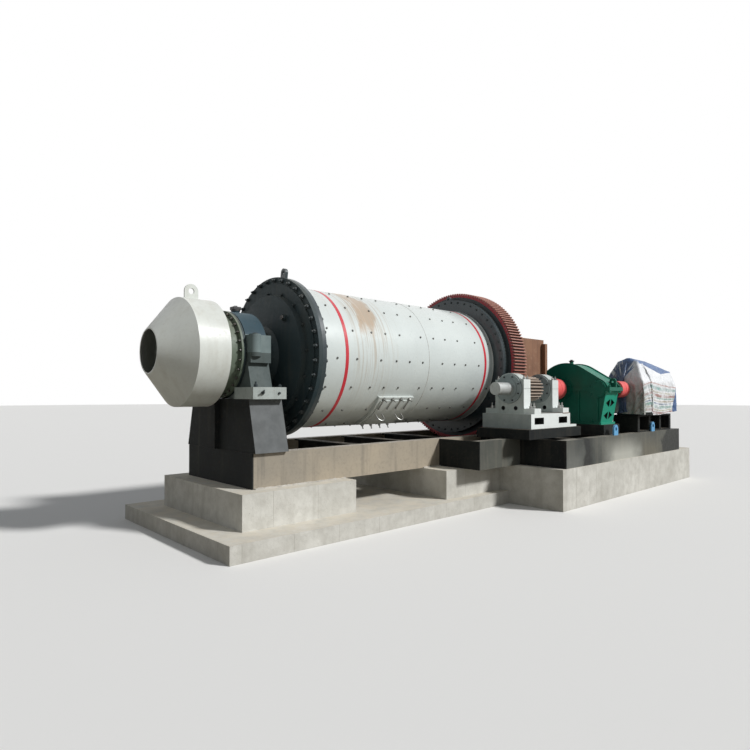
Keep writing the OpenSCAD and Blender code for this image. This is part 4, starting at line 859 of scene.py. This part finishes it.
def makeTarpCloth():
    material, shader, coords, normal = startMaterial("tarpWhite")
    uvMap = coords.id_data.nodes.new("ShaderNodeUVMap")
    uvMap.uv_map = "flat"
    flat = uvMap.outputs[0]
    u, v = parts(flat)[:2]
    cloudy = between(grain(coords, 5.0, 8.0), 0.35, 0.7)
    colour = mixColour(cloudy, (0.84, 0.85, 0.87), (0.73, 0.75, 0.77))
    # woven bands along the cloth, in the part that hangs on the drive side, faded in patches
    fadedAndPaintedLight = between(grain(flat, 9.0, 6.0, (1.0, 2.0, 1.0)), 0.36, 0.60, 0.15, 0.85)
    wander = times(sums("SUBTRACT", grain(flat, 3.0, 3.0), 0.5), 0.03)
    along, across = sums("ADD", u, wander), sums("ADD", v, wander)
    for place, half, tint in tarp["bands"]:
        colour = mixColour(times(between(away(across, place), half + 0.003, half), fadedAndPaintedLight), colour, tint)
    # painted shade low on the reducer's side, blue cloth at the top of that side, beyond the ridge and over the
    # far end
    # the lower reducer side of the cloth is darkened: painted shade
    paintedLowShade = times(between(along, 0.27, 0.17), between(v, 0.47, 0.44), 0.62)
    colour = mixColour(paintedLowShade, colour, (0.20, 0.22, 0.18))
    ridgeLine = sums("ADD", times(away(u, 0.60), 0.24), 0.338)
    far = between(sums("SUBTRACT", v, ridgeLine), 0.0, 0.004)
    side = times(between(along, 0.330, 0.322), between(across, 0.42, 0.45))
    blue = sums("MAXIMUM", sums("MAXIMUM", far, side), between(u, 0.800, 0.806))
    # white streaks on the crests of the blue cloth near the top: painted highlights
    paintedCrestHighlights = between(grain(flat, 1.0, 4.0, (5.0, 30.0, 1.0)), 0.46, 0.52)
    paintedCrestHighlights = times(paintedCrestHighlights, between(u, 0.22, 0.28), between(u, 0.36, 0.33))
    blueCloth = mixColour(cloudy, (0.050, 0.110, 0.260), (0.085, 0.16, 0.33))
    blueCloth = mixColour(times(side, 0.55), blueCloth, (0.030, 0.048, 0.085))
    blueCloth = mixColour(paintedCrestHighlights, blueCloth, (0.80, 0.83, 0.86))
    colour = mixColour(blue, colour, blueCloth)
    dirt = between(grain(coords, 9.0, 9.0, rough=0.7), 0.55, 0.75)
    colour = mixColour(times(dirt, 0.25), colour, (0.42, 0.38, 0.32))
    join(colour, shader.inputs["Base Color"])
    shader.inputs["Roughness"].default_value = 0.42
    weave = addNode("TexChecker", {"Vector": flat, "Scale": 900.0}).outputs["Fac"]
    fold = away(grain(coords, 11.0, 5.0, (1.0, 1.0, 0.7)), 0.5)
    addBump(shader, sums("ADD", times(fold, -2.0), times(weave, 0.02)), 0.8, 0.020)
    return material


finishes["tarpWhite"] = makeTarpCloth()


def flatTarp():
    bm = bmesh.new()
    bm.loops.layers.uv.new("flat")
    bmesh.ops.create_grid(bm, x_segments=tarp["alongCuts"], y_segments=tarp["acrossCuts"], size=1,
                          calc_uvs=True)
    for v in bm.verts:
        s, t = v.co.x, v.co.y
        v.co = Vector((tarp["middle"][0] + s * (1 - tarp["round"] * t * t) * tarp["length"] / 2,
                       tarp["middle"][1] + t * (1 - tarp["round"] * s * s) * tarp["width"] / 2,
                       tarp["middle"][2] + 0.004 * noise.noise(Vector((3 * s, 3 * t, 0.5)))))
    return bm


# the wrapped motor's outline as a solid that the cloth falls on; it is removed afterwards
def wrappedForm():
    bm = bmesh.new()
    bm.from_mesh(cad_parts["motor_tarp"].data)
    bmesh.ops.remove_doubles(bm, verts=bm.verts, dist=0.0005)
    bmesh.ops.delete(bm, geom=bm.edges, context="EDGES_FACES")
    low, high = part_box("motor_tarp")
    middle = (low + high) / 2
    shrink = Vector([1 - 2 * tarp["form"] / (high[i] - low[i]) for i in range(3)])
    for v in bm.verts:
        v.co = middle + (v.co - middle) * shrink
        # the top narrows to the terminal box, and the drive side leads at the reducer
        if v.co.z > high.z - 0.10:
            v.co.y = motorY + (v.co.y - motorY) * tarp["ridge"]
        if v.co.x < middle.x - 0.5 and v.co.y < motorY and v.co.z < 1.95:
            v.co.x -= tarp["lead"]
    bm.verts.new((tarp["apex"][0], motorY, tarp["apex"][1]))
    inner = bmesh.ops.convex_hull(bm, input=bm.verts)["geom_interior"]
    bmesh.ops.delete(bm, geom=[g for g in inner if isinstance(g, bmesh.types.BMVert)], context="VERTS")
    bmesh.ops.triangulate(bm, faces=bm.faces)
    bmesh.ops.recalc_face_normals(bm, faces=bm.faces)
    form = addObject("wrappedForm", bm)
    form.modifiers.new("hit", "COLLISION")
    form.collision.thickness_outer = tarp["thick"]
    form.collision.cloth_friction = 6.0
    # a pull towards the motor's axis, as the rope round the bundle gives it
    bpy.ops.object.effector_add(type="FORCE", location=(middle.x, motorY, pinionZ),
                                rotation=(0, math.pi / 2, 0))
    pull = bpy.context.object
    pull.field.shape = "LINE"
    pull.field.strength = tarp["pull"]
    pull.field.falloff_power = 0
    return form, pull


# presses flares in, bunches the hem and crumples the folds after the fall
def gatherTarp(mesh):
    low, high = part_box("motor_tarp")
    limits = ((0, low.x - 0.085, high.x + 0.010), (1, low.y - 0.012, high.y + 0.012))
    moves = []
    for v in mesh.vertices:
        p, out = v.co.copy(), v.normal.copy()
        if out.z < -0.2:
            out.negate()
        loose = min(1.0, max(0.0, (tarp["looseTop"] - p.z) / tarp["looseOver"]))
        wide = noise.ridged_multi_fractal(p * 6.0, 1.0, 2.1, 3, 0.9, 1.6)
        small = noise.noise(p * 19.0)
        p += out * tarp["crumple"] * loose * (0.55 * (wide - 1.0) + 0.45 * small)
        for axis, near, far in limits:
            within = min(max(p[axis], near), far)
            p[axis] = within + (p[axis] - within) * tarp["flare"]
        share = min(1.0, max(0.0, (p.x - low.x) / (high.x - low.x)))
        hem = (tarp["nearHem"] if p.y < motorY - 0.30 else tarp["farHem"]) + tarp["hemRise"] * share
        if p.z < hem:
            p.z = hem + (p.z - hem) * tarp["bunch"]
            p.y += 0.014 * math.copysign(noise.noise(p * 13.0), p.y - motorY) * min(1.0, (hem - p.z) / 0.02)
        moves.append(p)
    for v, p in zip(mesh.vertices, moves):
        v.co = p


cloth = addObject("tarpFlat", flatTarp())
flatMesh = cloth.data
helpers = wrappedForm()
# the sheet is caught on the corner of the terminal box
caught = cloth.vertex_groups.new(name="caught")
nearApex = [v.index for v in flatMesh.vertices
            if math.hypot(v.co.x - tarp["apex"][0], v.co.y - motorY) < tarp["caught"]]
caught.add(nearApex, 1.0, "REPLACE")
soft = cloth.modifiers.new("cloth", "CLOTH")
soft.settings.vertex_group_mass = "caught"
clothSettings = {"quality": 7, "mass": 0.25, "tension_stiffness": 25, "compression_stiffness": 12,
                 "shear_stiffness": 6, "bending_stiffness": 0.25, "air_damping": 1.5}
for setting, value in clothSettings.items():
    setattr(soft.settings, setting, value)
soft.collision_settings.collision_quality = 3
soft.collision_settings.distance_min = tarp["thick"]
soft.collision_settings.use_self_collision = False
soft.point_cache.frame_start, soft.point_cache.frame_end = 1, tarp["steps"]
for step in range(1, tarp["steps"] + 1):
    scene.frame_set(step)
draped = cloth.evaluated_get(bpy.context.evaluated_depsgraph_get())
tarpMesh = bpy.data.meshes.new_from_object(draped)
scene.frame_set(1)
for helper in helpers:
    bpy.data.objects.remove(helper)
gatherTarp(tarpMesh)
bpy.data.objects.remove(cloth)
tarpMesh.name = "motorTarp"
tarpMesh.materials.clear()
tarpMesh.materials.append(finishes["tarpWhite"])
tarpMesh.shade_smooth()
motorTarp = bpy.data.objects.new("motorTarp", tarpMesh)
scene.collection.objects.link(motorTarp)
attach(motorTarp, "root")
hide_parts("motor_tarp")

# the floor looks pale, and throws the light back as sandy ground does
floorLook = {"seen": (0.84, 0.83, 0.81), "thrown": (0.33, 0.30, 0.25), "radius": 90, "middle": (3, 0, -0.001)}
floorMaterial, floorShader, coords, normal = startMaterial("paleFloor")
floorShader.inputs["Roughness"].default_value = 0.9
seen = floorMaterial.node_tree.nodes.new("ShaderNodeLightPath").outputs["Is Camera Ray"]
join(mixColour(seen, floorLook["thrown"], floorLook["seen"]), floorShader.inputs["Base Color"])
bm = bmesh.new()
bmesh.ops.create_circle(bm, cap_ends=True, segments=96, radius=floorLook["radius"],
                        matrix=Matrix.Translation(floorLook["middle"]))
paleFloor = addObject("paleFloor", bm)
paleFloor.data.materials.append(floorMaterial)

lights = {"sun": 3.25, "sunFrom": (0.39, -0.70, 0.60), "sunSoft": 7.0, "sky": 0.22,
          "skyColour": (0.90, 0.95, 1.0)}
sunData = bpy.data.lights.new("keySun", "SUN")
sunData.energy = lights["sun"]
sunData.angle = math.radians(lights["sunSoft"])
keySun = bpy.data.objects.new("keySun", sunData)
keySun.rotation_euler = Vector(lights["sunFrom"]).to_track_quat("Z", "Y").to_euler()
scene.collection.objects.link(keySun)

world = bpy.data.worlds.new("studio")
scene.world = world
world.use_nodes = True
worldNodes = world.node_tree.nodes
sky, plain = worldNodes["Background"], worldNodes.new("ShaderNodeBackground")
for background, colour, strength in ((sky, lights["skyColour"], lights["sky"]), (plain, (1, 1, 1), 1.0)):
    background.inputs["Color"].default_value = (*colour, 1)
    background.inputs["Strength"].default_value = strength
path = worldNodes.new("ShaderNodeLightPath").outputs
seen = sums("MAXIMUM", path["Is Camera Ray"], path["Is Glossy Ray"])
mix = addNode("MixShader", {0: seen, 1: sky.outputs[0], 2: plain.outputs[0]})
join(mix.outputs[0], worldNodes["World Output"].inputs["Surface"])
scene.view_settings.view_transform = "Standard"
print("floor and light")
